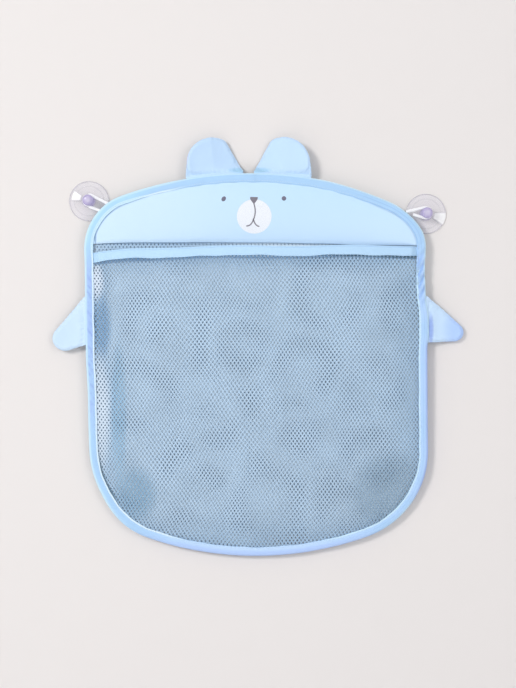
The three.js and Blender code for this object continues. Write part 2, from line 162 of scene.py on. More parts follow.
# %% A material with its own short words
class Finish:
    """One material: a Principled shader, its fixed settings, and what varies over it."""

    def __init__(self, name, **fixed):
        self.material = bpy.data.materials.new(name)
        self.material.use_nodes = True
        self.tree = self.material.node_tree
        self.shader = self.tree.nodes["Principled BSDF"]
        self.set(**fixed)

    def node(self, kind, settings=None, inputs=None, output=0):
        made = self.tree.nodes.new(kind)
        for key, value in (settings or {}).items():
            setattr(made, key, value)
        for key, value in (inputs or {}).items():
            self.feed(made.inputs[key], value)
        return Value(self, made.outputs[output])

    def feed(self, socket, value):
        if isinstance(value, Value):
            self.tree.links.new(value.socket, socket)
        else:
            socket.default_value = value

    def set(self, **links):
        for name, value in links.items():
            self.feed(self.shader.inputs[name.replace("_", " ")], value)
        return self

    def millimetres(self, source, count):
        """The first few numbers of a point, as millimetres."""
        outputs = self.node("ShaderNodeSeparateXYZ", None, {0: source}).socket.node.outputs
        return [Value(self, outputs[i]) * 1000 for i in range(count)]

    def place(self):
        """Where a point is at rest, in metres."""
        return self.node("ShaderNodeTexCoord", output="Object")

    def axes(self):
        return self.millimetres(self.place(), 3)

    def measures(self):
        """The two millimetre numbers that a piece carries in its map."""
        return self.millimetres(self.node("ShaderNodeUVMap", {"uv_map": "measures"}), 2)

    def noise(self, size_mm, detail=2, roughness=0.5):
        """Cloudy noise from 0 to 1 whose clouds are about this big."""
        inputs = {"Vector": self.place(), "Scale": 1000 / size_mm, "Detail": detail, "Roughness": roughness}
        return self.node("ShaderNodeTexNoise", None, inputs)

    def mix(self, share, first, second):
        """A colour between two colours."""
        return self.node("ShaderNodeMix", {"data_type": "RGBA"}, {0: share, 6: first, 7: second}, output=2)

    def tinted(self, colour, places):
        """The colour with soft patches, each given as a tint, a middle x and z, and how far it reaches."""
        x, _, z = self.axes()
        for tint, middle, reach in places:
            across, up = (((axis - at) / size) ** 2 for axis, at, size in zip((x, z), middle, reach))
            colour = self.mix((1 - (across + up)).step(0, 1), colour, tint)
        return colour

    def bump(self, height, depth_mm, **under):
        inputs = {"Height": height, "Distance": depth_mm * MM, "Strength": 1.0, **under}
        return self.node("ShaderNodeBump", None, inputs)


def rgb(*colour):
    """A colour as a paint shop gives it, from 0 to 255, turned into the linear numbers that shaders want."""
    shares = [c / 255 for c in colour]
    return (*(c / 12.92 if c <= 0.04045 else ((c + 0.055) / 1.055) ** 2.4 for c in shares), 1.0)


def dim(colour, share):
    return (*(c * share for c in colour[:3]), 1.0)


# %% [markdown]
# ## The outline of the bag
# The edge is made of arcs that touch each other: a wide head, two tight shoulders, straight sides, two round
# corners and a wide foot. Every edge piece follows the same line, further in or out.

# %% The outline
BAG_WIDTH, BAG_HEIGHT, HEAD_RISE, BAG_DEPTH = 350.0, 390.0, 33.4, 10.55
HEAD_RADIUS, SHOULDER_RADIUS, CORNER_RADIUS, FOOT_RADIUS = 390.0, 59.0, 95.0, 335.0
HALF_WIDTH = BAG_WIDTH / 2
HEAD_Z = HEAD_RISE - HEAD_RADIUS
SHOULDER_X = HALF_WIDTH - SHOULDER_RADIUS
SHOULDER_Z = HEAD_Z + math.sqrt((HEAD_RADIUS - SHOULDER_RADIUS) ** 2 - SHOULDER_X ** 2)
FOOT_Z = HEAD_RISE - BAG_HEIGHT + FOOT_RADIUS
CORNER_X = HALF_WIDTH - CORNER_RADIUS
CORNER_Z = FOOT_Z - math.sqrt((FOOT_RADIUS - CORNER_RADIUS) ** 2 - CORNER_X ** 2)
SHOULDER_TURN = math.atan2(SHOULDER_Z - HEAD_Z, SHOULDER_X)
CORNER_TURN = math.atan2(FOOT_Z - CORNER_Z, CORNER_X)
ARCS = (
    (0, HEAD_Z, HEAD_RADIUS, math.pi / 2, SHOULDER_TURN),
    (SHOULDER_X, SHOULDER_Z, SHOULDER_RADIUS, SHOULDER_TURN, 0),
    (CORNER_X, CORNER_Z, CORNER_RADIUS, 0, -CORNER_TURN),
    (0, FOOT_Z, FOOT_RADIUS, -CORNER_TURN, -math.pi / 2),
)


def arc(x, z, radius, start, end, step):
    """Rows of x, z and the way out along an arc, about a step apart."""
    turns = np.linspace(start, end, max(2, round(abs(end - start) * radius / step)) + 1)
    ways = rows_of(np.cos(turns), np.sin(turns))
    return np.hstack([np.array([x, z]) + radius * ways, ways])


def bag_line(step=1.5):
    """The whole outline, counterclockwise seen from the room, and the way out at each point."""
    heights = np.linspace(SHOULDER_Z, CORNER_Z, round((SHOULDER_Z - CORNER_Z) / step) + 1)[1:-1]
    head, shoulder, corner, foot = (arc(*numbers, step) for numbers in ARCS)
    right = np.concatenate([head, shoulder[1:], rows_of(HALF_WIDTH, heights, 1.0, 0.0), corner, foot[1:]])
    both = np.concatenate([right, right[::-1][1:-1] * (-1, 1, -1, 1)])[::-1]
    return both[:, :2], both[:, 2:]


def half_width(z, inset):
    """Half the width at heights z of the outline, drawn in by the inset."""
    z = np.asarray(z, float)
    head, shoulder, corner, foot = (
        x + np.sqrt(np.maximum(0, (radius - inset) ** 2 - (z - middle) ** 2))
        for x, middle, radius, *_ in ARCS)
    shoulder_top = SHOULDER_Z + (SHOULDER_RADIUS - inset) * math.sin(SHOULDER_TURN)
    corner_low = CORNER_Z - (CORNER_RADIUS - inset) * math.sin(CORNER_TURN)
    places = [z > shoulder_top, z > SHOULDER_Z, z > CORNER_Z, z > corner_low]
    return np.select(places, [head, shoulder, HALF_WIDTH - inset + 0 * z, corner], foot)


line, line_ways = bag_line()
steps = np.linalg.norm(line - np.roll(line, 1, 0), axis=1)
edge_length = float(steps.sum())
print("outline points", len(line), "length", round(edge_length), "mm")

# %% [markdown]
# ## How the cloth hangs
# A real bag is never as true as its pattern. This one is held a little lower on the right, its mouth has
# slid to the left, and its foot is drawn in and rests against the wall. Every piece of the bag goes through
# the same small shifts, in millimetres.

# %% Small shifts of a hanging bag
HANG_HEIGHTS = (45, -20, -65, -92, -110, -130, -145, -200, -290, -350)
LEFT_SHIFTS = (0, -1.2, 0.3, 0.6, 0.8, 1.1, 1.4, 3.6, 5.8, -1.5)
RIGHT_SHIFTS = (0, -0.5, -2.8, -1.9, 0.3, 0.5, -0.3, 0, 1.0, 1.0)
HEAD_LIFT, HEAD_TILT, LIFT_FADE, FLAP_REACH = 0.5, 0.013, 35.0, 30.0
SHOULDER_DROOP, DROOP_START = 0.045, 75.0
FOOT_LEAN, LEAN_START, LEAN_REACH = 3.0, -170.0, 170.0


def eased(heights, shifts):
    """The shift at each height, with a soft start and end to each stretch."""
    places, shifts = np.array(HANG_HEIGHTS[::-1], float), np.array(shifts[::-1], float)
    after = np.clip(np.searchsorted(places, heights), 1, len(places) - 1)
    share = soft(ramp(heights, places[after - 1], places[after]))
    return shifts[after - 1] + (shifts[after] - shifts[after - 1]) * share


def hang(points):
    """Rows of x, depth and z, moved as the bag hangs. The tips of the flaps stay where they are."""
    x, _, z = points.T
    right = np.clip(x / BAG_WIDTH + 0.5, 0, 1)
    across = eased(z, LEFT_SHIFTS) * (1 - right) + eased(z, RIGHT_SHIFTS) * right
    across *= ramp(np.abs(x), HALF_WIDTH + FLAP_REACH, HALF_WIDTH)
    up = HEAD_LIFT - HEAD_TILT * x - SHOULDER_DROOP * np.maximum(0, x - DROOP_START)
    back = -FOOT_LEAN * soft(ramp(z, LEAN_START, LEAN_START - LEAN_REACH))
    return points + rows_of(across, back, up * ramp(z, -LIFT_FADE, 0))


print("shift at the left foot", hang(np.array([[-150.0, 0.0, -290.0]]))[0].round(2))

# %% [markdown]
# ## From numbers to a mesh
# This helper turns rows of points into a Blender mesh, smooth shaded, and gives it its finish.

# %% A mesh from arrays
def piece(name, points, faces, finish, hangs=True):
    """points are rows of x, depth and z in millimetres. What belongs to the bag hangs as it does."""
    points = np.reshape(points, (-1, 3)).astype(float)
    points = (hang(points) if hangs else points) * MM
    mesh = bpy.data.meshes.new(name)
    mesh.from_pydata([(x, -depth, z) for x, depth, z in points], [], [tuple(map(int, f)) for f in faces])
    mesh.validate()
    mesh.shade_smooth()
    mesh.materials.append(finish.material)
    return add(name, mesh)


def grid_faces(rows, columns, close_rows=False, close_columns=False):
    """Quads that join a grid of points, row by row."""
    faces = []
    for r in range(rows if close_rows else rows - 1):
        here, below = r * columns, (r + 1) % rows * columns
        for c in range(columns if close_columns else columns - 1):
            beside = (c + 1) % columns
            faces.append([here + c, here + beside, below + beside, below + c])
    return faces


def write_map(made, first, second):
    """Writes two millimetre numbers for each point into a map that a finish can read."""
    pairs = rows_of(first, second).reshape(-1, 2) * MM
    layer = made.data.uv_layers.new(name="measures")
    corner_points = np.zeros(len(made.data.loops), int)
    made.data.loops.foreach_get("vertex_index", corner_points)
    layer.data.foreach_set("uv", pairs[corner_points].astype(np.float32).ravel())


def ride(made, body, slot, *nodes):
    """Makes a piece move with a body, and hides the solids that it stands for. slot is not used."""
    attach(made, body)
    if nodes:
        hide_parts(*nodes)
    return made


# %% [markdown]
# ## Finishes
# All the cloth is pale blue polyester, and each kind catches light in its own way: a dull knitted yarn, a
# smooth woven cloth on the head, ears and arms, and a ribbed tape on the edge and the mouth. The colours are
# written as they look in plain light, and some places carry painted light and shade besides, as said where
# they are.

# %% Yarn of the net
# Colours of shadows painted on the net.
BAND_SHADOW, RIGHT_BAND_SHADOW, TAPE_GAP_SHADOW = rgb(84, 122, 160), rgb(48, 78, 92), rgb(66, 98, 116)


def net_yarn(name, tint, shade, patches, band_shadow_share=0.0):
    """The map holds how far a yarn is from the side and foot seams, and how far below the mouth."""
    made = Finish(name, Roughness=0.62, Sheen_Weight=0.2, Sheen_Roughness=0.4, Specular_IOR_Level=0.35)
    x, _, z = made.axes()
    twist = ((x * 5.2 + z * 7.9).sine() + (x * 5.2 - z * 7.9).sine()) * 0.25 + 0.5
    colour = made.mix((made.noise(34, 3) * 0.6 + twist * 0.4).step(0.25, 0.8), dim(tint, 0.8), tint)
    from_seam, below = made.measures()
    # Painted shade near the seams and below the mouth, more on the right and low down. On the back net the
    # same mix is lighter, a painted light near the seams and in the slit under the head.
    near_seam = from_seam.fall(0, 42) * (0.22 + x.step(-40, 150) * 0.14 + z.fall(-330, -180) * 0.15)
    near_mouth = below.fall(3, 24) * 0.5 + below.fall(0, 3) * 0.5
    colour = made.tinted(made.mix(near_seam.bigger(near_mouth).smaller(1), colour, shade), patches)
    # Painted shadows: a dark row just under the mouth band, darker at the right, and a dark line low on the
    # left along the tape.
    tape_gap_shadow = from_seam.fall(1.2, 3.4) * x.fall(-140, -110) * z.step(-306, -290) * z.fall(-262, -245)
    band_shadow, right_band_shadow = below.fall(1.8, 4), below.fall(1.2, 3) * x.step(60, 96)
    for share, dark in ((band_shadow, BAND_SHADOW), (right_band_shadow, RIGHT_BAND_SHADOW), (tape_gap_shadow, TAPE_GAP_SHADOW)):
        colour = made.mix(share * band_shadow_share, colour, dark)
    return made.set(Base_Color=colour, Roughness=0.7 - twist * 0.16, Normal=made.bump(twist, 0.08))


# Painted shade on the front net along the left side, low on the left and low on the right, and painted light
# in two pale strips near the left seam.
front_painted_light_and_shade = [
    (rgb(118, 158, 196), (-157, -122), (13, 40)), (rgb(206, 220, 236), (-163, -76), (10, 24)),
    (rgb(200, 216, 232), (-159, -212), (14, 74)), (rgb(140, 168, 192), (134, -292), (46, 50)),
    (rgb(146, 184, 214), (-139, -214), (10, 90)), (rgb(130, 168, 198), (-122, -292), (26, 34)),
]
# Painted shade on the back net in the slit under the head.
back_painted_shade = [(rgb(176, 203, 226), (-110, -42), (120, 18))]
# Both nets are of the same yarn; the back one is painted lighter, to lighten the shade it lies in behind the
# front net.
front_yarn = net_yarn("front_net_yarn", rgb(186, 213, 238), rgb(126, 163, 196), front_painted_light_and_shade, 0.75)
back_yarn = net_yarn("back_net_yarn", rgb(212, 232, 246), rgb(220, 238, 250), back_painted_shade)

# %% Smooth woven cloth
# Each set is below, above and at the left; the lighter left tint is painted light from the left.
HEAD_TINTS = (rgb(200, 227, 251), rgb(193, 225, 250), rgb(205, 230, 251))
LIMB_TINTS = (rgb(200, 225, 250), rgb(190, 219, 249), rgb(212, 233, 249))


def woven_cloth(name, tints, low_z, high_z, patches, seamed=False, pitch=0.55):
    """Plain weave with soft creases. tints are its colours below, above and at the left, where the lighter
    tint is painted light from the left. A seamed one has a map of how far it is from the tape, and a painted
    shadow line along the tape, most of all on the left shoulder."""
    made = Finish(name, Roughness=0.66, Sheen_Weight=0.28, Sheen_Roughness=0.35, Specular_IOR_Level=0.3)
    x, _, z = made.axes()
    turn = 2 * math.pi / pitch
    threads = (x * turn).sine() * (z * turn).sine() * 0.5 + 0.5
    slub = made.noise(2.2, 3)
    low, high, left = tints
    drift = z.step(low_z, high_z) * 0.8 + made.noise(60, 2) * 0.2
    base = made.mix(x.fall(-150, 40) * z.fall(10, 40), made.mix(drift, low, high), left)
    base = made.tinted(base, patches)
    if seamed:
        from_tape, _ = made.measures()
        # Painted shadow line along the tape's inner edge, most on the left shoulder.
        seam_shadow_share = x.fall(-148, -105) * z.step(-38, -30) * 0.85 + x.step(105, 140) * 0.4
        base = made.mix(from_tape.fall(0.5, 1.9) * seam_shadow_share, base, rgb(128, 160, 200))
    colour = made.mix((1 - threads) * 0.16 + slub * 0.1, base, dim(low, 0.9))
    creases = made.bump(made.noise(26, 2, roughness=0.45), 0.7)
    weave = made.bump(threads * 0.7 + slub * 0.3, 0.05, Normal=creases)
    return made.set(Base_Color=colour, Roughness=0.72 - threads * 0.1, Normal=weave)


# A painted shadow line on the head cloth along the tape at the upper left.
head_painted_shadow = [(rgb(128, 160, 196), (-163.7, -32), (1.4, 10))]
# The right arm's tip is violet, the left arm a little darker, and the left ear's outer edge a paler violet.
# Painted shade lies in the crease at the right arm's root and in the creases at the ears' inner base
# corners.
limb_tones_and_painted_shade = [
    (rgb(172, 202, 252), (212, -126), (25, 32)), (rgb(146, 172, 232), (178.4, -125), (3.6, 20)),
    (rgb(160, 204, 234), (-16, 37), (15, 4)), (rgb(160, 204, 234), (3, 37), (15, 4)),
    (rgb(200, 208, 248), (-72, 58), (5, 24)), (rgb(200, 224, 246), (-200, -125), (60, 50)),
]
head_cloth = woven_cloth("head_cloth", HEAD_TINTS, -40, 30, head_painted_shadow, seamed=True)
limb_cloth = woven_cloth("limb_cloth", LIMB_TINTS, -60, 20, limb_tones_and_painted_shade)

# %% Ribbed tape
def ribbed_tape(name, tint, pale, tones, rib=1.15, painted_light_and_tones=False):
    """Tape with ribs across it and painted highlights along both rims. tones are colours that it takes
    towards a side. On the edge tape the inner highlight is wider and whiter on the left and shows only at
    the sides, the outer one is wider on the left and missing low on the right and at the foot, the tape is
    violet low on the right and takes a few more tones, and painted shade lies in creases on the left and on
    the twists below the mouth on the right."""
    made = Finish(name, Roughness=0.58, Sheen_Weight=0.22, Sheen_Roughness=0.35, Specular_IOR_Level=0.4)
    along, across = made.measures()
    ribs, threads = (along * (2 * math.pi / rib)).wave(), (across * (2 * math.pi / 0.42)).wave()
    cloud = made.noise(22, 3)
    plain = made.mix(ribs * 0.25 + threads * 0.15 + cloud * 0.6, dim(tint, 0.88), tint)
    x, _, z = made.axes()
    for at, *tone in tones:
        beside = x.step(at - 80, at + 80) if at > 0 else x.fall(at - 10, at + 80) * z.step(-240, -200)
        share = beside * z.fall(-60, -20) * (0.35 + cloud.step(0.35, 0.65) * 0.65)
        plain = made.mix(share, plain, rgb(*tone))
    # The pale rims are painted highlights along the folds of the tape.
    inner, outer, rim = across.fall(1.3, 2.3), across.step(7.2, 8.8), pale
    if painted_light_and_tones:
        left, right, lined = x.fall(-95, -65), x.step(60, 90) * z.fall(-80, -50), x.step(85, 125)
        low_right, crown = x.step(150, 170) * z.fall(-146, -128), z.step(-60, -30)
        outer = across.step(7.2 - left * 1.2, 8.8) * (1 - low_right) * z.step(-335, -305)
        # Painted shade in creases on the left and on the twists below the mouth on the right.
        painted_crease_shade = (x * 0.9 + z * 0.7 + cloud * 9).wave() * made.noise(7, 2).step(0.38, 0.62)
        wrung = (x * 1.05 - z * 0.5).wave() * lined * z.step(-105, -85) * z.fall(-60, -40)
        foot = made.mix(across.step(2, 6), rgb(200, 222, 250), rgb(180, 200, 250))
        tones_and_painted_shade = [
            (z.fall(-350, -325) * 0.6, foot), (x.fall(-140, -90) * crown * 0.65, rgb(174, 220, 243)),
            (low_right * across.step(6, 8.5) * 0.8, rgb(166, 190, 242)),
            (left * z.fall(-80, -60) * z.step(-230, -180) * painted_crease_shade * 0.7, rgb(142, 168, 226)),
            (wrung * 0.8, rgb(138, 176, 232)),
        ]
        for at, strength in ((0.9, crown), (4.6, 0.45 + crown * 0.3)):
            seam_line = (1 - ((across - at) / 0.8) ** 2).step(0, 1)
            tones_and_painted_shade.append((seam_line * lined * strength * 0.55, rgb(144, 182, 226)))
        for share, tone in tones_and_painted_shade:
            plain = made.mix(share, plain, tone)
        # The inner painted highlight is wider and whiter at the top on the left.
        wide = x.fall(-135, -100) * crown * 1.4
        inner = across.fall(1.3 + wide, 2.3 + wide)
        rim = made.mix(left * inner * (1 - wide), pale, rgb(222, 242, 254))
        inner = inner * left.bigger(right)
    colour = made.mix((inner + outer).smaller(1) * 0.85, plain, rim)
    weave = made.bump(ribs * 0.65 + threads * 0.35, 0.11)
    return made.set(Base_Color=colour, Roughness=0.66 - ribs * 0.14, Normal=weave)


edge_tones = [(-180, 165, 190, 240), (90, 178, 209, 248)]
edge_tape = ribbed_tape("edge_tape", rgb(174, 213, 249), rgb(204, 235, 251), edge_tones, painted_light_and_tones=True)
mouth_tape = ribbed_tape("mouth_tape", rgb(166, 203, 243), rgb(186, 221, 248), [(90, 158, 193, 245)], 1.3)

# %% Thread, print, wadding, cord and vinyl
def plain_fibre(name, tint, grain_mm, depth_mm, **fixed):
    made = Finish(name, **{"Roughness": 0.6, **fixed})
    grain = made.noise(grain_mm, 3)
    colour = made.mix(grain.step(0.3, 0.75), dim(tint, 0.84), tint)
    return made.set(Base_Color=colour, Normal=made.bump(grain, depth_mm))


def braided_elastic():
    made = Finish("braided_elastic", Roughness=0.55, Sheen_Weight=0.3, Sheen_Roughness=0.4)
    along, round_it = made.measures()
    braid = (along * 5.0 + round_it * 5.2).sine() * (along * 5.0 - round_it * 5.2).sine() * 0.5 + 0.5
    colour = made.mix(braid, rgb(240, 242, 248), rgb(254, 254, 255))
    return made.set(Base_Color=colour, Normal=made.bump(braid, 0.16))


def clear_vinyl():
    """The map holds the radius on the cup, and where a painted glint lies: a wedge of light reflected by the
    dome.
    """
    made = Finish("clear_vinyl", IOR=1.46, Transmission_Weight=0.08, Coat_Weight=0.6, Coat_Roughness=0.05)
    radius, glint = made.measures()
    rim, seal = radius.step(19.3, 20.2), radius.step(14.2, 15.0) * radius.fall(15.2, 16.2)
    knob, cloud, flow = radius.fall(5.7, 7.5), made.noise(9, 2), made.noise(14, 1, roughness=0.3)
    colour = made.mix(cloud.step(0.3, 0.7), rgb(244, 242, 253), rgb(250, 249, 255))
    # A painted highlight on the top of the knob.
    knob_highlight = radius.fall(1.2, 4.2) * (0.45 + cloud.step(0.35, 0.6) * 0.4)
    # The grey line at the rim is painted shade at the edge of the clear lip; the faint ring is the seal's
    # step seen through the vinyl.
    edges = (rim * (0.35 + cloud * 0.5) + seal * 0.2).smaller(1)
    for share, tone in ((knob, rgb(198, 188, 230)), (knob_highlight, rgb(236, 232, 250)),
                        (edges, rgb(168, 166, 178)), (glint * 0.95, rgb(254, 254, 255))):
        colour = made.mix(share, colour, tone)
    alpha = (0.21 + knob * 0.42 + rim * 0.3 + seal * 0.06 + glint * 0.75).smaller(1)
    surface = made.bump(flow, 0.02)
    return made.set(Base_Color=colour, Roughness=0.08 + flow * 0.08, Normal=surface, Alpha=alpha)


thread = plain_fibre("sewing_thread", rgb(197, 222, 250), 0.5, 0.05, Sheen_Weight=0.2)
wadding = plain_fibre("white_wadding", rgb(236, 240, 244), 1.6, 0.4, Roughness=0.9, Sheen_Weight=0.3)
print_pale = plain_fibre("pale_print", rgb(240, 245, 252), 0.7, 0.04, Roughness=0.5)
print_dark = plain_fibre("dark_print", rgb(112, 110, 130), 0.7, 0.04, Roughness=0.45)
print_grey = plain_fibre("grey_print", rgb(126, 122, 134), 0.7, 0.04, Roughness=0.45)
elastic, vinyl = braided_elastic(), clear_vinyl()
print("finishes", sorted(m.name for m in bpy.data.materials if m.use_nodes))

# %% [markdown]
# ## The net
# The real net is knitted: every pore is a small hexagon, in rows that are staggered by half a pore. An image
# of it on a plane would look flat from the side, so each yarn is real: six quads run round a pore, from its
# edge up to a ridge that it shares with its neighbours. Smooth shading makes the ridge read as a round yarn.

# %% Where the mouth band runs
MOUTH_DROP, MOUTH_BOW, MOUTH_TILT, MOUTH_HALF = 46.25, 17.0, math.radians(5), 165.5
MOUTH_SAG, MOUTH_SLOPE, BAND_SEAT, TUCK_START, TUCK_END = 4.6, 1.1, 11.1, 159, 167
MOUTH_DEPTH, MOUTH_HEIGHT, SEAM_DEPTH, BELLY_SWELL, MOUTH_FADE = 14.071, 10.0, 11.85, 40.0, 26.0
TAPE_WIDTH, TAPE_COVER = 9.2, 9.5
FOOT_LINE = HEAD_RISE - BAG_HEIGHT + TAPE_COVER


def mouth_height(x):
    """Height of the band's middle: it sags at its left end and rises a little to the right."""
    sag = MOUTH_SAG * hump(np.maximum(x, -MOUTH_HALF), -MOUTH_HALF, 33, 1.5) + 0.9 * hump(x, -112, 38)
    return -MOUTH_DROP - sag + MOUTH_SLOPE * x / MOUTH_HALF + 0.65 * np.sin(x / 18.6 + 2.6)


def tucked(x):
    """1 where an end of the band is between the legs of the edge tape, 0 where it is free."""
    return soft(ramp(np.abs(x), TUCK_START, TUCK_END))


def mouth_depth(x):
    """How far the band's middle stands towards the room, with the photo's slight waves."""
    bow = MOUTH_BOW * np.maximum(0, 1 - (x / MOUTH_HALF) ** 2) * math.cos(MOUTH_TILT)
    free = MOUTH_DEPTH + bow + 0.5 * np.sin(x / 26 + 0.4) + 0.3 * np.sin(x / 13)
    return free * (1 - tucked(x)) + BAND_SEAT * tucked(x)


print("the mouth stands", round(float(mouth_depth(0.0)), 1), "mm from the wall")

# %% One sheet of net
PORE_PITCH_X, PORE_PITCH_Z, YARN_RISE = 3.8, 2.75, 0.26
FRONT_HOLE_SHARE, BACK_HOLE_SHARE, PORE_SHAPE = 0.68, 0.42, (0.8, 1.25)
ROWS, COLUMNS = np.arange(-130, 20), np.arange(-50, 51)
side = PORE_PITCH_X / 2
corner_rise = (PORE_PITCH_Z ** 2 - side ** 2) / (2 * PORE_PITCH_Z)
top = PORE_PITCH_Z - corner_rise
cell = np.array([(side, corner_rise), (0, top), (-side, corner_rise), (-side, -corner_rise), (0, -top),
                 (side, -corner_rise)])


def pores(inside, shift=(0.0, 0.0)):
    """Middles of the pores of a cut sheet."""
    r, c = np.meshgrid(ROWS, COLUMNS, indexing="ij")
    across, up = (c + (r % 2) / 2) * PORE_PITCH_X + shift[0], r * PORE_PITCH_Z + shift[1]
    centres = rows_of(across, up).reshape(-1, 2)
    return centres[inside(*centres.T)]


def net_sheet(name, centres, drape, finish, hole_share, facing=1):
    """drape turns flat points into rows of x, depth and z. facing is 1 to the room and -1 to the wall."""
    ridge = centres[:, None] + cell
    edge = centres[:, None] + cell * PORE_SHAPE * hole_share[:, None, None]
    keys, index = np.unique(np.round(ridge.reshape(-1, 2), 3), axis=0, return_inverse=True)
    nodes = index.reshape(-1, 6)
    inner = len(keys) + np.arange(len(centres) * 6).reshape(-1, 6)
    flat = np.concatenate([keys, edge.reshape(-1, 2)])
    x, z = flat.T
    points = drape(x, z)
    points[:len(keys), 1] += YARN_RISE * facing
    after = np.roll(np.arange(6), -1)
    quads = rows_of(inner, nodes, nodes[:, after], inner[:, after]).reshape(-1, 4)
    made = piece(name, points, quads if facing > 0 else quads[:, ::-1], finish)
    seam = np.minimum(half_width(z, TAPE_WIDTH) - np.abs(x), z - FOOT_LINE)
    write_map(made, np.maximum(seam, 0), np.maximum(mouth_height(x) - MOUTH_HEIGHT / 2 - z, 0))
    yarn_area = float((1 - hole_share ** 2).sum()) * PORE_PITCH_X * PORE_PITCH_Z
    print(name, "pores", len(centres), "quads", len(quads), "yarn covers", round(yarn_area), "square mm")
    return made, yarn_area * MM * MM


# %% [markdown]
# ## The back net and the slack front net
# The back net is pulled flat inside the edge tape. The front net has more cloth than it needs, so it bellies
# out and gathers a little along its seams. Where its pores part from those behind them, soft bands of light
# and dark dots drift over the pouch, as in the photo.

# %% The back net
NET_TUCK, BACK_NET_DEPTH = 4.2, 9.25


def in_outline(x, z, inset=NET_TUCK):
    inside = (z < HEAD_RISE - inset) & (z > HEAD_RISE - BAG_HEIGHT + inset)
    return inside & (np.abs(x) < half_width(z, inset))


def flat_back(x, z):
    slack = 0.25 * np.sin(x / 31 + z / 47) + 0.2 * np.sin(x / 57 - z / 23 + 1.3)
    return rows_of(x, BACK_NET_DEPTH + slack, z)


back_pores = pores(in_outline)
back_holes = np.full(len(back_pores), BACK_HOLE_SHARE)
back_net, back_area = net_sheet("back_net", back_pores, flat_back, back_yarn, back_holes, -1)
ride(back_net, "bag", "net", "back_mesh")

# %% The front net
def belly(x, z):
    """How far the pouch stands towards the room, before its small folds."""
    low_edge = mouth_height(x) - MOUTH_HEIGHT / 2 - 1
    drop = ramp(z, low_edge, FOOT_LINE)
    out = np.clip(np.abs(x) / np.maximum(1, half_width(np.minimum(z, low_edge), TAPE_COVER)), 0, 1)
    lift = (MOUTH_DEPTH - 0.35 - SEAM_DEPTH) * ramp(low_edge - z, MOUTH_FADE, 0)
    swell = (1 - drop ** 2) * (MOUTH_BOW * math.cos(MOUTH_TILT) + BELLY_SWELL * drop)
    return SEAM_DEPTH + lift + (1 - out ** 2.3) * swell


def gathers(x, z):
    """Small folds that run in from the side and foot seams and fade in the middle."""
    inset = np.maximum(0, half_width(np.clip(z, FOOT_LINE, -60), TAPE_COVER) - np.abs(x))
    side_fold = fading(inset, 26) * (1 - fading(inset, 5)) * np.sin(z / 9.5 + np.sign(x) * 1.1 + inset / 30)
    rise = np.maximum(0, z - FOOT_LINE - 12)
    foot_fold = fading(rise, 30) * (1 - fading(rise, 6)) * np.sin(x / 11 + 0.7)
    slow = np.sin(x / 43 + z / 71 + 0.4) + np.sin(x / 29 - z / 53 + 2.1)
    return 1.1 * side_fold + 0.9 * foot_fold + 0.45 * slow * (1 - fading(inset, 25))


def slack_front(x, z):
    """The belly and its folds. Slack lets the net slide, so its pores part from those behind."""
    across = 1.5 * np.sin(x / 21 + z / 33 + 0.6) + 1.2 * np.sin(x / 37 - z / 19 + 1.0)
    up = 1.3 * np.sin(x / 27 - z / 24 + 2.0) + 0.8 * np.sin(x / 16 + z / 45)
    inside = np.maximum(0, np.minimum(half_width(z, NET_TUCK) - np.abs(x), mouth_height(x) - z))
    loose = 1 - fading(inside, 14)
    held = soft(ramp(z - mouth_height(x), -19, -6))
    depth = (belly(x, z) + gathers(x, z)) * (1 - held) + mouth_depth(x) * held
    return rows_of(x + across * loose, depth, z + up * loose)


def in_pouch(x, z):
    inset = np.where(z > -MOUTH_DROP - 22, 10.2, NET_TUCK)
    return in_outline(x, z, inset) & (z < mouth_height(x) - 1)


def pore_share(x, z):
    """How open the pores are: less so on the right, at the foot and in two strips on the left."""
    right = 0.08 * ramp(x, 40, 110) * ramp(z, -280, -240)
    foot = 0.06 * ramp(z, -290, -330)
    strips = 0.22 * hump(x, -159, 11) * hump(z, -212, 62) + 0.2 * hump(x, -163, 7) * hump(z, -76, 18)
    return FRONT_HOLE_SHARE - np.maximum(np.maximum(right, foot), strips)


front_pores = pores(in_pouch, (0.6, 0.9))
front_holes = pore_share(*front_pores.T)
front_net, front_area = net_sheet("front_net", front_pores, slack_front, front_yarn, front_holes)
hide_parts("pouch_front_mesh")
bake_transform(front_net)

# %% [markdown]
# ## The head panel
# A smooth cloth is sewn over thin wadding. It follows the head's outline, swells slightly, and its lower
# edge is turned under, which gives it a round lip above the dark slit of the mouth.

# %% Head cloth with its turned hem
HEAD_FRONT, HEM_FOLD, HEM_TUCK, HEAD_INSET, HEAD_SPAN = 12.3, 0.9, 5.5, 3.0, 343.2


def hem_height(x):
    """The lower edge of the head: level on the left, then lower and lower, with one shallow dip."""
    fall = 0.021 * 15 * np.log1p(np.exp((x - 10) / 15))
    return -36.25 - 1.9 * fading(x + 172, 25) - fall - 0.55 * hump(x, 104, 17) + 0.12 * np.sin(x / 11)


def outline_top(x, inset):
    x = np.abs(x)
    reach, radius = HEAD_RADIUS - inset, SHOULDER_RADIUS - inset
    head = HEAD_Z + np.sqrt(np.maximum(0, reach ** 2 - x ** 2))
    shoulder = SHOULDER_Z + np.sqrt(np.maximum(0, radius ** 2 - (x - SHOULDER_X) ** 2))
    return np.where(x < reach * math.cos(SHOULDER_TURN), head, shoulder)


def from_edge(x, z):
    """Distance from the outline, for places on the head."""
    shoulder = np.hypot(np.abs(x) - SHOULDER_X, z - SHOULDER_Z)
    on_shoulder = (z > SHOULDER_Z) & (z - HEAD_Z < np.abs(x) * math.tan(SHOULDER_TURN))
    beside = np.where(on_shoulder, SHOULDER_RADIUS - shoulder, HEAD_RADIUS - np.hypot(x, z - HEAD_Z))
    return np.where(z > SHOULDER_Z, beside, HALF_WIDTH - np.abs(x))


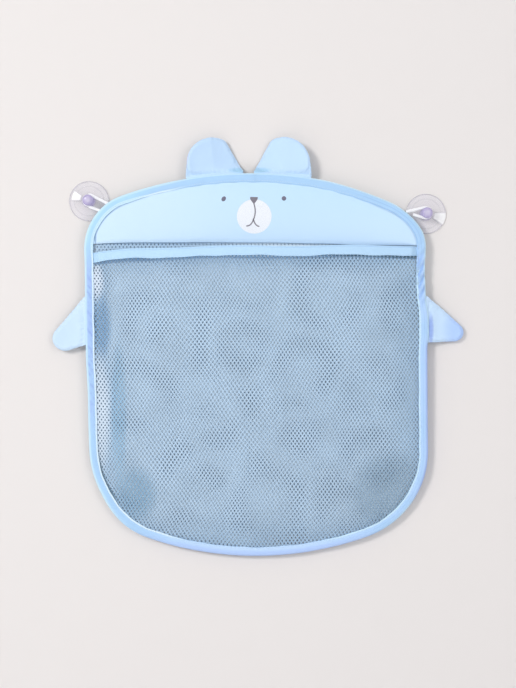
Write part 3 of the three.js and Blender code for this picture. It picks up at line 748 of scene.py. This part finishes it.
def head_depth(x, z):
    """Depth of the cloth's face. It is held at the tape and at the hem, and swells between them."""
    edge = np.minimum(outline_top(x, TAPE_WIDTH) - z, half_width(z, TAPE_WIDTH) - np.abs(x))
    held = ramp(np.minimum(edge, (z - hem_height(x)) * 4), 0, 20)
    pull = 0.16 * np.sin(x / 17 + z / 29) + 0.12 * np.sin(x / 41 - z / 19 + 2)
    seam_pucker = 0.16 * fading(np.maximum(edge, 0), 5) * np.sin(x / 2.9)
    return HEAD_FRONT + 0.95 * np.sqrt(held * (2 - held)) + pull * held + seam_pucker


columns = np.linspace(-HEAD_SPAN / 2, HEAD_SPAN / 2, 230)
low, high = hem_height(columns), outline_top(columns, HEAD_INSET)
z = low + (high - low) * (1 - np.linspace(0, 1, 40)[:, None] ** 1.15)
turns = np.linspace(0, math.pi, 7)[1:, None]
face = rows_of(columns, head_depth(columns, z), z)
lip_depth = head_depth(columns, low) - HEM_FOLD / 2 * (1 - np.cos(turns))
lip = rows_of(columns, lip_depth, low - HEM_FOLD / 2 * np.sin(turns))
head_points = np.concatenate([face, lip, lip[-1:] + (0, 0.05, HEM_TUCK)])
head = piece("head_cloth", head_points, grid_faces(len(head_points), len(columns)), head_cloth)
head.data.flip_normals()
from_tape = from_edge(head_points[..., 0], head_points[..., 2]) - TAPE_WIDTH
write_map(head, np.maximum(0, from_tape), 0.0)
ride(head, "bag", "head_cloth", "head_panel")

# %% Wadding behind it
PAD_INSET, PAD_ROWS, PAD_SIDES = 5, 16, (11.3, 9.95)
columns = np.linspace(-169.0, 169.0, 120)
pad_low = low.min() + PAD_INSET
z = pad_low + (outline_top(columns, PAD_INSET) - pad_low) * np.linspace(0, 1, PAD_ROWS)[:, None]
z = np.concatenate([z, z[::-1]])
grain = 0.12 * np.sin(columns / 3.1 + z / 2.3) * np.sin(z / 3.7 - columns / 5.9)
pad_points = rows_of(columns, np.repeat(PAD_SIDES, PAD_ROWS)[:, None] + grain, z)
pad = piece("head_wadding", pad_points, grid_faces(len(z), len(columns), close_rows=True), wadding)
ride(pad, "bag", "foam", "head_stiffener")

# %% [markdown]
# ## The face
# Two small eyes and a pale round muzzle with a nose and a mouth are printed on the head cloth. Each print is
# a thin skin that follows the cloth just in front of it, so its edges stay sharp at any size.

# %% Printed shapes
PIXEL_MM, CENTRE_PIXEL, LINE_MM, LINE_LIFT = 1.02, (255.3, 205.3), 1.2, 0.2
NOSE = ((253.8, 203.9), (257.1, 199.2), (257.7, 197.2), (257.2, 196.6), (250.4, 196.6), (249.8, 197.2),
        (250.3, 199.2))
# An oval has its middle and half its sizes in pixels, how far its top leans right, points, finish and lift.
OVALS = {
    "muzzle": ((254.3, 215.7), (17.3, 17.0), 0.0, 64, print_pale, 0.1),
    "eye_left": ((223.6, 198.8), (2.15, 2.5), 0.25, 28, print_dark, 0.12),
    "eye_right": ((283.6, 197.6), (2.25, 2.25), 0.0, 28, print_dark, 0.12),
}
# A line is a quadratic curve through three pixels.
LINES = {
    "lip_line": ((253.8, 203.2), (255.2, 211.4), (253.5, 218.9)),
    "mouth_left": ((253.6, 218.4), (250.9, 223.5), (246.8, 225.2)),
    "mouth_right": ((253.4, 218.4), (255.7, 223.5), (259.0, 225.5)),
}


def from_photo(pixels):
    """Places on the head cloth that the photo shows at these pixels."""
    return (np.array(pixels) - CENTRE_PIXEL) * (PIXEL_MM, -PIXEL_MM)


def printed(name, flat, faces, finish, lift):
    points = at_depth(flat, head_depth(*flat.T) + lift)
    ride(piece(f"print_{name}", points, faces, finish), "bag", "head_cloth")


def filled(name, outline, finish, lift):
    """A filled shape: its outline in rings drawn in to its middle."""
    middle, count = outline.mean(0), len(outline)
    rings = [middle + (outline - middle) * share for share in (1, 0.93, 0.75, 0.5, 0.25)]
    faces = grid_faces(len(rings), count, close_columns=True)
    faces += [[4 * count + i, 4 * count + (i + 1) % count, 5 * count] for i in range(count)]
    printed(name, np.concatenate([*rings, middle[None]]), faces, finish, lift)


def drawn(name, path):
    """A line of even width with round ends, drawn as one closed outline."""
    way, beside = way_and_side(path)
    middle = np.concatenate([path[:1] - way[:1] * LINE_MM / 2, path, path[-1:] + way[-1:] * LINE_MM / 2])
    wide = np.concatenate([beside[:1] * 0.4, beside, beside[-1:] * 0.4]) * LINE_MM / 2
    flat = np.concatenate([middle - wide, middle + wide])
    printed(name, flat, grid_faces(2, len(middle)), print_grey, LINE_LIFT)


for name, (centre, half, slant, count, finish, lift) in OVALS.items():
    turns = np.linspace(0, 2 * math.pi, count, endpoint=False)
    cos, sin = np.cos(turns), np.sin(turns)
    oval = rows_of(centre[0] + half[0] * (cos + slant * sin), centre[1] - half[1] * sin)
    filled(name, from_photo(oval), finish, lift)
filled("nose", from_photo(NOSE), print_grey, LINE_LIFT)
for name, pixels in LINES.items():
    a, b, c = from_photo(pixels)
    t = np.linspace(0, 1, 18)[:, None]
    drawn(name, (1 - t) ** 2 * a + 2 * t * (1 - t) * (2 * b - (a + c) / 2) + t ** 2 * c)
print("face printed")

# %% [markdown]
# ## The edge tape
# A ribbed tape is folded over the edges of every layer and sewn through near its inner edge. It is built by
# carrying one folded section round the outline. Its map holds the millimetres along and across, for the
# ribs.

# %% Folded tape round the edge
along_line = np.cumsum(steps) - steps[0]


def ripple(*waves):
    """Waves round the closed edge, each a whole number of turns, so the ends meet."""
    once_round = 2 * math.pi * along_line / edge_length
    return sum(size * np.sin(turns * once_round + start) for turns, size, start in waves)


tape_wave = ripple((23, 0.16, 0.3), (41, 0.13, 1.9), (67, 0.08, 0.7))
edge_wave = ripple((31, 0.14, 1.1), (57, 0.12, 2.4), (139, 0.07, 0.2))
fold_turns = np.radians(np.linspace(60, -60, 7))
section = np.array([
    (9.2, 2.42), (8.9, 2.62), (8.2, 2.5), (7.5, 2.3), (6.8, 2.52), (5.4, 2.72), (3.8, 2.76), (2.2, 2.62),
    *rows_of(1.6 - 1.6 * np.cos(fold_turns), 2.5 * np.sin(fold_turns)),
    (2.2, -2.55), (4.4, -2.6), (6.8, -2.5), (7.5, -2.3), (8.4, -2.5), (9.2, -2.45),
    (9.2, -1.85), (5.0, -1.9), (1.5, -1.6), (0.9, 0), (1.5, 1.6), (5.0, 1.95), (9.2, 1.85),
])
tape_inset, tape_front = section.T
line_x, line_z = line.T[..., None]
on_right = line_x > 0
# The seam lies in a groove on the left and low on the right, and is nearly flat elsewhere. On the right the
# tape stands out a little where the arm leaves it, and is wrung just below the mouth.
groove = 0.15 + 0.85 * np.maximum(ramp(line_x, -65, -85), ramp(line_x, 60, 90) * ramp(line_z, -50, -80))
bulge = 0.8 * hump(line_z, -124, 15, 4) * on_right
wrung = 1.2 * hump(line_z, -68, 24) * on_right
share = ramp(tape_inset, 5, 9.2)
inset = tape_inset + edge_wave[:, None] * share - bulge * (1 - share)
twist = wrung * np.sin(2 * math.pi * (along_line[:, None] / 13 + inset / 11)) * (tape_front > 0)
plain = np.sign(tape_front) * (2.6 - 0.6 * ramp(tape_inset, 7.2, 9.2) ** 2)
in_groove = (tape_inset > 6) & (np.abs(tape_front) > 2)
front = np.where(in_groove, tape_front * groove + plain * (1 - groove), tape_front)
depth = BAG_DEPTH + front + tape_wave[:, None] * np.sign(tape_front) * 0.9 + twist
tape_points = at_depth(line[:, None] - line_ways[:, None] * inset[..., None], depth)
tape_faces = grid_faces(len(line), len(section), close_rows=True, close_columns=True)
binding = piece("edge_tape", tape_points, tape_faces, edge_tape)
write_map(binding, along_line[:, None], way_along(section))
ride(binding, "bag", "edge_tape", "perimeter_binding")
print("edge tape", round(edge_length), "mm long,", len(tape_faces), "quads")

# %% [markdown]
# ## Stitches
# A lockstitch shows as short raised threads with small dips between them. Each stitch is a tapered grain
# that lies half in the tape. One helper sews a whole row along any path.

# %% A row of stitches
SEAM_INSET, SEAM_RISE, SEAM_SUNK = 7.5, 2.34, 0.2
STITCH_START, STITCH_SHARE, STITCH_FLATNESS, ROUND_THREAD = 0.09, 0.82, 1.3, 6
STITCH_SWELL = np.array([(0.0, 0.25), (0.16, 0.85), (0.5, 1.0), (0.84, 0.85), (1.0, 0.25)])


def stitches(name, path, facing, gauge=2.7, thread_radius=0.2):
    """path holds points of x, depth and z; facing is 1 on the side to the room and -1 on the back."""
    along = way_along(path)
    shares, swell = STITCH_SWELL.T
    places = (np.arange(int(along[-1] / gauge))[:, None] + STITCH_START + STITCH_SHARE * shares) * gauge
    middle = rows_of(*(np.interp(places, along, path[:, k]) for k in range(3)))
    way = middle[:, -1:] - middle[:, :1]
    front = np.array([0.0, facing, 0.0])
    beside = np.cross(front, way / np.linalg.norm(way, axis=-1, keepdims=True))[:, :, None]
    turns = np.arange(ROUND_THREAD)[:, None] * 2 * math.pi / ROUND_THREAD
    ring = np.cos(turns) * beside * STITCH_FLATNESS + np.sin(turns) * front
    points = middle[:, :, None] + thread_radius * swell[:, None, None] * ring
    size = len(swell) * ROUND_THREAD
    grain = [[a, d, c, b] for a, b, c, d in grid_faces(len(swell), ROUND_THREAD, close_columns=True)]
    grain += [range(ROUND_THREAD), range(size - 1, size - 1 - ROUND_THREAD, -1)]
    faces = [[n * size + k for k in face] for n in range(len(places)) for face in grain]
    return piece(name, points, faces, thread)


for name, facing in (("front", 1), ("back", -1)):
    seam_depth = BAG_DEPTH + facing * (SEAM_RISE + SEAM_SUNK * (1 - groove[:, 0]) + tape_wave * 0.9)
    sewn = at_depth(line - line_ways * (SEAM_INSET + edge_wave * 0.6)[:, None], seam_depth)
    ride(stitches(f"edge_stitches_{name}", np.concatenate([sewn, sewn[:1]]), facing), "bag", "edge_tape")
print("stitches sewn round the edge")

# %% [markdown]
# ## The mouth band
# The same kind of tape, folded over the top of the slack net, bows forward because the net below it is wider
# than the bag. Its two ends are sewn into the edge tape, and are tucked between its legs.

# %% Folded tape at the mouth
BAND_END, BAND_FREE = 171.5, 163
fold_turns = np.radians(np.linspace(0, 180, 9))
BAND_SECTION = np.array([
    *rows_of(1.3 * np.cos(fold_turns), 3.9 + 1.15 * np.sin(fold_turns)),
    (-1.32, 1.5), (-1.28, -1.2), (-1.18, -3.3), (-1.25, -4.6), (-1.1, -5.0), (-0.7, -4.9), (-0.6, 0),
    (-0.4, 3.9), (0.4, 3.9), (0.6, 0), (0.7, -4.9), (1.1, -5.0), (1.25, -4.6), (1.15, -3.3), (1.3, -1.2),
    (1.34, 1.5),
])
for sign, side_name in ((-1, "left"), (1, "right")):
    xs = np.sort(sign * np.linspace(0, BAND_END, 150))[:, None]
    depth, z = mouth_depth(xs), mouth_height(xs)
    low_wave = 0.35 * np.sin(xs / 11.3 + 0.8) + 0.22 * np.sin(xs / 5.1)
    thick, rise = BAND_SECTION.T
    points = rows_of(xs, depth + thick * (1 - 0.45 * tucked(xs)), z + rise + low_wave * ramp(rise, 0, -5))
    faces = grid_faces(len(xs), len(BAND_SECTION), close_columns=True)
    band = piece(f"mouth_band_{side_name}", points, faces, mouth_tape)
    write_map(band, xs, way_along(BAND_SECTION))
    path = np.hstack([xs, depth + 1.17, z - 3.4 + low_wave * 0.6])[np.abs(xs[:, 0]) < BAND_FREE]
    sewn = stitches(f"mouth_stitches_{side_name}", path, 1, 2.5, 0.12)
    for made in (band, sewn):
        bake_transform(made)
    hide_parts("pouch_mouth_band")
print("mouth band", 2 * BAND_END, "mm long")

# %% [markdown]
# ## Ears and arms
# Each flap is two cloths sewn face to face, turned out and stuffed thinly. The outline comes first, as lines
# that touch arcs. Both cloths are cut to it, a little too large, and joined at the rim. Blender's cloth
# simulation then blows them up, so small folds run in from the seam. The root stays flat, because it is sewn
# into the edge tape.

# %% Outlines of the flaps
EAR_BASE, EAR_RADIUS, EAR_RISE, EAR_CORNER, EAR_CORNER_TURN = 60.0, 27.5, 10.3, 8.0, math.radians(116)
ARM_DROP, FLAP_ROOT, FLAP_HINGE = 116.0, 3.6, 1.05


def touch_turn(point, centre, radius, hand):
    """Where a line from the point touches a circle."""
    dx, dv = point[0] - centre[0], point[1] - centre[1]
    turn = math.atan2(dv, dx) - hand * math.acos(radius / math.hypot(dx, dv))
    return turn % (2 * math.pi) if hand > 0 else math.remainder(turn, 2 * math.pi)


def ear_outline():
    right, left, centre = (EAR_BASE / 2, 0.0), (-EAR_BASE / 2, 0.0), (0.0, EAR_RISE)
    reach = EAR_RADIUS - EAR_CORNER
    corner = (reach * math.cos(EAR_CORNER_TURN), EAR_RISE + reach * math.sin(EAR_CORNER_TURN))
    start, end = touch_turn(right, centre, EAR_RADIUS, -1), touch_turn(left, corner, EAR_CORNER, 1)
    big = arc(*centre, EAR_RADIUS, start, EAR_CORNER_TURN, 1.2)
    small = arc(*corner, EAR_CORNER, EAR_CORNER_TURN, end, 1.2)[1:]
    return np.concatenate([[right], big[:, :2], small[:, :2], [left]])


def arm_outline(reach, sag, radius, low_end, high_end):
    right, left, tip = (low_end, 0.0), (-high_end, 0.0), (sag, reach)
    round_tip = arc(*tip, radius, touch_turn(right, tip, radius, -1), touch_turn(left, tip, radius, 1), 1.0)
    return np.concatenate([[right], round_tip[:, :2], [left]])


def even_line(points, step):
    """The same open line with points an even step apart."""
    along = way_along(points)
    places = np.linspace(0, along[-1], max(8, round(along[-1] / step)) + 1)
    return rows_of(*(np.interp(places, along, points[:, k]) for k in range(2)))


# %% Cutting the cloth of a flap
def nearest(points, path):
    """Distance from each point to a path."""
    starts, ways = path[:-1], np.diff(path, axis=0)
    offset = points[:, None] - starts
    share = np.clip((offset * ways).sum(-1) / (ways ** 2).sum(1), 0, 1)
    return np.linalg.norm(offset - share[..., None] * ways, axis=-1).min(1)


def is_inside(points, loop):
    """Which points a closed outline holds: a line to the right of them crosses it an odd number of times."""
    ends = np.roll(loop, -1, 0)
    spans = (loop[:, 1] > points[:, 1:]) != (ends[:, 1] > points[:, 1:])
    rise = np.where(ends[:, 1] == loop[:, 1], 1, ends[:, 1] - loop[:, 1])
    crossing = loop[:, 0] + (points[:, 1:] - loop[:, 1]) * (ends[:, 0] - loop[:, 0]) / rise
    return (spans & (points[:, :1] < crossing)).sum(1) % 2 == 1


def cut_cloth(loop, spacing=1.6):
    """An outline filled with even triangles. Its own points come first."""
    low, high = loop.min(0), loop.max(0)
    heights, places = np.arange(low[1], high[1], spacing * 0.866), np.arange(low[0], high[0], spacing)
    inner = np.array([(u + r % 2 * spacing / 2, v) for r, v in enumerate(heights) for u in places])
    apart = nearest(inner, np.concatenate([loop, loop[:1]]))
    flat = np.concatenate([loop, inner[is_inside(inner, loop) & (apart > spacing * 0.55)]])
    edges = [(i, (i + 1) % len(loop)) for i in range(len(loop))]
    corners, _, triangles, *_ = delaunay_2d_cdt([Vector(p) for p in flat], edges, [], 1, 1e-5)
    return np.array([tuple(p) for p in corners]), [tuple(t) for t in triangles]


# %% Blowing it up
SIM_SCALE, SIM_FRAMES, CLOTH_SPARE, MOST_MOVED = 0.02, 14, 0.035, 3.2
SIM_QUALITY, CLOTH_MASS, STIFFNESS, BENDING = 6, 0.1, 12, 0.3


def blown_up(points, faces, held, pressure):
    """Cloth with pressure inside, held at some points. Twenty times its real size suits the solver."""
    mesh = bpy.data.meshes.new("cloth_at_work")
    mesh.from_pydata([tuple(p * SIM_SCALE) for p in points], [], faces)
    worker = add("cloth_at_work", mesh)
    worker.vertex_groups.new(name="held").add([int(i) for i in held], 1.0, "REPLACE")
    cloth = worker.modifiers.new("cloth", "CLOTH")
    settings = cloth.settings
    settings.quality, settings.mass, settings.vertex_group_mass = SIM_QUALITY, CLOTH_MASS, "held"
    settings.tension_stiffness = settings.compression_stiffness = settings.shear_stiffness = STIFFNESS
    settings.bending_stiffness, settings.shrink_min = BENDING, -CLOTH_SPARE
    settings.use_pressure, settings.uniform_pressure_force = True, pressure
    settings.effector_weights.gravity = 0
    cloth.point_cache.frame_end = SIM_FRAMES
    for now in range(1, SIM_FRAMES + 1):
        bpy.context.scene.frame_set(now)
    shown = worker.evaluated_get(bpy.context.evaluated_depsgraph_get())
    after = np.zeros(len(points) * 3)
    shown.data.vertices.foreach_get("co", after)
    bpy.context.scene.frame_set(1)
    worker.modifiers.remove(cloth)
    moves = after.reshape(-1, 3) / SIM_SCALE - points
    lengths = np.maximum(np.linalg.norm(moves, axis=1), 1e-6)
    moved = points + moves * np.minimum(1, MOST_MOVED / lengths)[:, None]
    mesh.vertices.foreach_set("co", (moved * SIM_SCALE).ravel())
    worker.modifiers.new("smooth", "SUBSURF").levels = 1
    fine = worker.evaluated_get(bpy.context.evaluated_depsgraph_get()).data
    fine_points = np.array([tuple(v.co) for v in fine.vertices]) / SIM_SCALE
    fine_faces = [tuple(p.vertices) for p in fine.polygons]
    bpy.data.objects.remove(worker)
    bpy.data.meshes.remove(mesh)
    print("cloth moved", round(float(lengths.mean()), 2), "mm, at most", round(float(lengths.max()), 2))
    return fine_points, fine_faces


# %% A stuffed flap
EAR_LEAN, EAR_PUFF, ARM_PUFF, PRESSURE_SHARE = (0.18, 0.37), 4.1, 3.1, 1.6


def stuffed(body, outline, sign, place, turn, puff, forward=0, fallen=0.0):
    """A flap in its own plane, u along the fold and v out of the bag, set at its place and turned with the
    edge. forward says which way along u it comes forward, and fallen how far it falls back to the wall."""
    rim = (outline * (-1.0, 1.0))[::-1] if sign < 0 else outline
    sewn = even_line(rim, 1.3)
    (start_u, _), (end_u, _) = rim[0], rim[-1]
    root = [rim[-1], (end_u * 0.97, -FLAP_ROOT), (start_u * 0.97, -FLAP_ROOT), rim[0]]
    loop = np.concatenate([sewn, even_line(np.array(root), 1.5)[1:-1]])
    flat, triangles = cut_cloth(loop)
    reach, opened = ramp(nearest(flat, sewn), 0, 17), ramp(flat[:, 1], -1, 12)
    pillow = 0.2 + puff * 0.55 * (reach * (2 - reach)) ** 0.62 * (0.28 + 0.72 * opened * (2 - opened))
    pillow[:len(loop)] = 0.0
    front = at_depth(flat, pillow)
    shift = len(flat) - len(loop)
    rear = [tuple(k if k < len(loop) else k + shift for k in face[::-1]) for face in triangles]
    points = np.concatenate([front, (front * (1.0, -1.0, 1.0))[len(loop):]])
    held = np.flatnonzero((np.arange(len(points)) < len(loop)) | (points[:, 2] < 0.5))
    points, faces = blown_up(points, triangles + rear, held, puff * PRESSURE_SHARE)
    u, depth, v = points.T
    free, outward = ramp(v, 0, 14), forward * u
    depth = depth + BAG_DEPTH + np.where(outward > 0, *EAR_LEAN) * outward * free * (2 - free)
    depth -= fallen * (1 - fading(np.maximum(0, v), 11))
    cos, sin = math.cos(turn), math.sin(turn)
    points = rows_of(place[0] + u * cos + v * sin, depth, place[1] - u * sin + v * cos)
    made = piece(f"{body}_cushion", points, faces, limb_cloth)
    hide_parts(f"{body}_front", f"{body}_padding", f"{body}_back")
    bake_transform(made)
    print(made.name, "points", len(points), "depth", (depth.min().round(1), depth.max().round(1)))


# %% Both ears and both arms
EAR_TURNS, ARM_LEANS = {"left": 6.2, "right": 4.0}, {"left": 3.5, "right": 6.2}
ARM_SHAPES = {"left": (19.3, 18.6, 13.0, 25.8, 24.5), "right": (27.3, 12.3, 9.5, 23.2, 25.5)}
for sign, side_name in ((-1, "left"), (1, "right")):
    turn, reach = math.radians(EAR_TURNS[side_name]) * sign, HEAD_RADIUS + FLAP_HINGE
    ear_place = (reach * math.sin(turn), HEAD_Z + reach * math.cos(turn))
    stuffed(f"ear_{side_name}", ear_outline(), sign, ear_place, turn, EAR_PUFF, forward=sign)
    arm_place = (sign * (HALF_WIDTH + FLAP_HINGE), -ARM_DROP)
    shape, lean = arm_outline(*ARM_SHAPES[side_name]), ARM_LEANS[side_name]
    stuffed(f"arm_{side_name}", shape, sign, arm_place, sign * math.pi / 2, ARM_PUFF, fallen=lean)

# %% [markdown]
# ## Suction cups
# A clear vinyl cup is turned round one axis: a wide lip, a dome that rises to a neck, and a round knob that
# keeps the cord on. A smooth curve through a few points of the profile, spun in fine steps, gives all of it.

# %% Turned cups
def smooth_line(points, steps):
    """A Catmull-Rom curve through the points."""
    points = np.asarray(points, float)
    ends = np.concatenate([[2 * points[0] - points[1]], points, [2 * points[-1] - points[-2]]])
    t = np.linspace(0, 1, steps, endpoint=False)[:, None]
    made = []
    for a, b, c, d in zip(ends, ends[1:], ends[2:], ends[3:]):
        bend, twist = 2 * a - 5 * b + 4 * c - d, 3 * b - a - 3 * c + d
        made.append(0.5 * (2 * b + (c - a) * t + bend * t ** 2 + twist * t ** 3))
    return np.concatenate([*made, points[-1:]])


CUP_RADIUS, CUP_HEIGHT, AROUND = 20.5, 16.6, 96
CUP_CENTRES = {"left": (-171.298, 6.431), "right": (174.299, -6.644)}
# Each cup's painted glint, a wedge of reflected light: its middle angle and half its spread in degrees, and
# how far out it reaches in millimetres.
GLINTS = {"left": (161.0, 18.0, 17.8), "right": (345.0, 20.0, 20.6)}
cup_under = [(0.0, 1.2), (9.0, 1.2), (14.3, 1.15), (15.5, 0.05), (17.0, 0.0), (20.0, 0.0)]
cup_over = [
    (20.0, 0.0), (20.5, 0.35), (20.45, 0.95), (19.6, 1.3), (16.0, 2.45), (11.6, 4.05), (7.6, 6.4),
    (5.3, 8.2), (4.35, 9.6), (4.3, 11.2), (4.5, 11.75), (5.35, 12.1), (5.6, 13.4), (5.2, 14.9),
    (3.8, 16.15), (2.0, 16.55), (0.0, 16.6),
]
profile = np.concatenate([smooth_line(cup_under, 4)[:-1], smooth_line(cup_over, 5)])
profile = np.clip(profile, 0, (CUP_RADIUS, CUP_HEIGHT))
turns = np.linspace(0, 2 * math.pi, AROUND, endpoint=False)
radius, height = profile[1:-1].T[..., None]
radius = np.minimum(radius * (1 + 0.004 * np.sin(3 * turns + 0.8) * (radius / CUP_RADIUS) ** 3), CUP_RADIUS)
turned = rows_of(radius * np.cos(turns), height, radius * np.sin(turns)).reshape(-1, 3)
turned = np.concatenate([turned, [(0, profile[0, 1], 0), (0, profile[-1, 1], 0)]])
cup_faces = grid_faces(len(radius), AROUND, close_columns=True)
first, last = len(radius) * AROUND, len(radius) * AROUND + 1
cup_faces += [[(k + 1) % AROUND, k, first] for k in range(AROUND)]
cup_faces += [[first - AROUND + k, first - AROUND + (k + 1) % AROUND, last] for k in range(AROUND)]
from_axis, angle = np.hypot(turned[:, 0], turned[:, 2]), np.degrees(np.arctan2(turned[:, 2], turned[:, 0]))
for side_name, (cup_x, cup_z) in CUP_CENTRES.items():
    cup = piece(f"cup_{side_name}", turned + (cup_x, 0, cup_z), cup_faces, vinyl, hangs=False)
    middle, spread, far = GLINTS[side_name]
    off = np.abs((angle - middle + 180) % 360 - 180)
    write_map(cup, from_axis, ramp(off, spread, spread - 4) * ramp(from_axis, 7.5, 9.5) * (from_axis < far))
    ride(cup, f"cup_{side_name}", "clear_vinyl", f"suction_cup_{side_name}")
print("cup profile points", len(profile))

# %% [markdown]
# ## Cord loops
# A braided white elastic leaves the shoulder of the bag, runs once round the neck of the cup and comes back.
# It is a tube along that route, with the braid in its finish.

# %% Elastic loops
CORD_RADIUS, NECK_RADIUS, PRESSED, SEAM_GAP, NECK_STEPS, ROUND_CORD = 1.5, 5.9, 0.8, 0.3, 26, 14
LOOPS = {"left": (-1, 49.4, 10.9, 17.7, 24.4, 0.14), "right": (1, 41.2, 7.3, 12.9, 0.9, 0.45)}


def loop_route(sign, seam_turn, feet_apart, reach, lean, tail):
    """The route from one sewn foot round the neck to the other. tail is the share of a leg that goes on into
    the tape."""
    turn, lean = math.radians(seam_turn), math.radians(lean)
    out = np.array([sign * math.cos(turn), math.sin(turn)])
    seam_reach = math.sqrt((SHOULDER_RADIUS + CORD_RADIUS + SEAM_GAP) ** 2 - (feet_apart / 2) ** 2)
    seam = np.array([sign * SHOULDER_X, SHOULDER_Z]) + out * seam_reach
    beside = np.array([sign * out[1], -sign * out[0]]) * feet_apart / 2
    foot, other_foot = seam + beside, seam - beside
    neck = seam + reach * np.array([sign * math.cos(lean), math.sin(lean)])
    start, end = touch_turn(foot, neck, NECK_RADIUS, -sign), touch_turn(other_foot, neck, NECK_RADIUS, sign)
    turns = np.linspace(start, start + ((end - start) * sign % (2 * math.pi)) * sign, NECK_STEPS)
    pressed = PRESSED * np.clip(1.6 * np.sin(np.linspace(0, math.pi, NECK_STEPS)), 0, 1)[:, None]
    round_neck = neck + (NECK_RADIUS - pressed) * rows_of(np.cos(turns), np.sin(turns))
    first = foot + (foot - round_neck[0]) * tail
    last = other_foot + (other_foot - round_neck[-1]) * tail
    legs = first + (round_neck[0] - first) * np.linspace(0, 0.9, 9)[:, None]
    back = round_neck[-1] + (last - round_neck[-1]) * np.linspace(0.1, 1, 9)[:, None]
    return smooth_line(np.concatenate([legs, round_neck, back]), 3)


turns = np.linspace(0, 2 * math.pi, ROUND_CORD, endpoint=False)
for side_name, numbers in LOOPS.items():
    flat = loop_route(*numbers)
    along, beside = way_along(flat), way_and_side(flat)[1][:, None]
    past_neck = (flat[:, :1] - CUP_CENTRES[side_name][0]) * numbers[0]
    across = (CORD_RADIUS - PRESSED * np.clip(past_neck / 3 + 0.8, 0, 1)) * np.cos(turns)
    rings = at_depth(flat[:, None] + beside * across[..., None], BAG_DEPTH + CORD_RADIUS * np.sin(turns))
    cord_faces = grid_faces(len(flat), ROUND_CORD, close_columns=True)
    cord = piece(f"elastic_{side_name}", rings, cord_faces, elastic, hangs=False)
    write_map(cord, along[:, None], turns * CORD_RADIUS)
    ride(cord, f"loop_{side_name}", "elastic_cord", f"cord_loop_{side_name}")
    print("elastic", side_name, round(float(along[-1]), 1), "mm long")

# %% [markdown]
# ## Wall, floor and light
# The bag hangs on a pale wall, and its shadow falls on it. The wall shows only from the room, so the back of
# the bag can be looked at too. Right behind the net a little blue light is painted on the wall, standing in
# for the light that blue yarn colours on its way through, which a render with few bounces can't show. Light
# comes from a large window up on the left, with a softer one on the right.

# %% Wall and floor
NET_SPREAD, FOOT_START, FOOT_SPREAD, BLUE_LIGHT = 166, 190, 148, rgb(206, 226, 244)


def stage_finish(name, tint, blue_light_share):
    made = Finish(name, Roughness=0.8)
    colour = made.mix(made.noise(900, 2).step(0.2, 0.8), dim(tint, 0.985), tint)
    x, _, z = made.axes()
    # Painted light: the wall behind the net is tinted blue.
    off_middle = (x / NET_SPREAD) ** 4 + ((z * -1 - FOOT_START).bigger(0) / FOOT_SPREAD) ** 4
    behind_net = off_middle.fall(0.85, 1) * z.fall(-34, -22)
    made.set(Base_Color=made.mix(behind_net * blue_light_share, colour, BLUE_LIGHT))
    clear = made.node("ShaderNodeBsdfTransparent")
    behind = made.node("ShaderNodeNewGeometry", output="Backfacing")
    shadow = made.node("ShaderNodeLightPath", output="Is Shadow Ray")
    first_look = 1 - made.node("ShaderNodeLightPath", output="Diffuse Depth").smaller(1)
    inputs = {0: behind.bigger(shadow * first_look), 1: Value(made, made.shader.outputs[0]), 2: clear}
    shown = made.node("ShaderNodeMixShader", None, inputs)
    made.feed(made.tree.nodes["Material Output"].inputs["Surface"], shown)
    return made


WALL_GAP, FLOOR_Z, REACH, ROOM_DEPTH = 0.0006, -0.85, 3, -4
STAGE = {
    "wall": ((WALL_GAP, FLOOR_Z, WALL_GAP, REACH), rgb(226, 222, 220), 1.0),
    "floor": ((ROOM_DEPTH, FLOOR_Z, WALL_GAP, FLOOR_Z), rgb(226, 226, 228), 0.0),
}
for name, ((near, low, far, high), tint, blue_light_share) in STAGE.items():
    mesh = bpy.data.meshes.new(name)
    corners = [(-REACH, near, low), (REACH, near, low), (REACH, far, high), (-REACH, far, high)]
    mesh.from_pydata(corners, [], [(0, 1, 2, 3)])
    mesh.materials.append(stage_finish(f"{name}_paint", tint, blue_light_share).material)
    add(name, mesh)

# %% Lamps and the room's light
LAMPS = {
    "window": ((-1.5, -2.2, 0.65), 0.7, 34, (1.0, 0.985, 0.965)),
    "soft_side": ((0.95, -1.7, 0.1), 1.0, 5.8, (0.98, 0.985, 1.0)),
    "behind": ((0.5, 1.6, 0.7), 1.4, 20, (1, 1, 1)),
}
AIM, SKY_COLOUR, SKY_STRENGTH = Vector((0, 0, -0.14)), (0.97, 0.975, 1.0, 1), 0.62
for name, (place, size, watts, colour) in LAMPS.items():
    data = bpy.data.lights.new(name, "AREA")
    data.shape, data.size, data.energy, data.color = "DISK", size, watts, colour
    lamp = add(name, data)
    lamp.location = place
    lamp.rotation_euler = (AIM - Vector(place)).to_track_quat("-Z", "Y").to_euler()
world = bpy.data.worlds.new("room_light")
world.use_nodes = True
sky = world.node_tree.nodes["Background"]
sky.inputs["Color"].default_value, sky.inputs["Strength"].default_value = SKY_COLOUR, SKY_STRENGTH
bpy.context.scene.world = world
bpy.context.scene.view_settings.view_transform = "Standard"
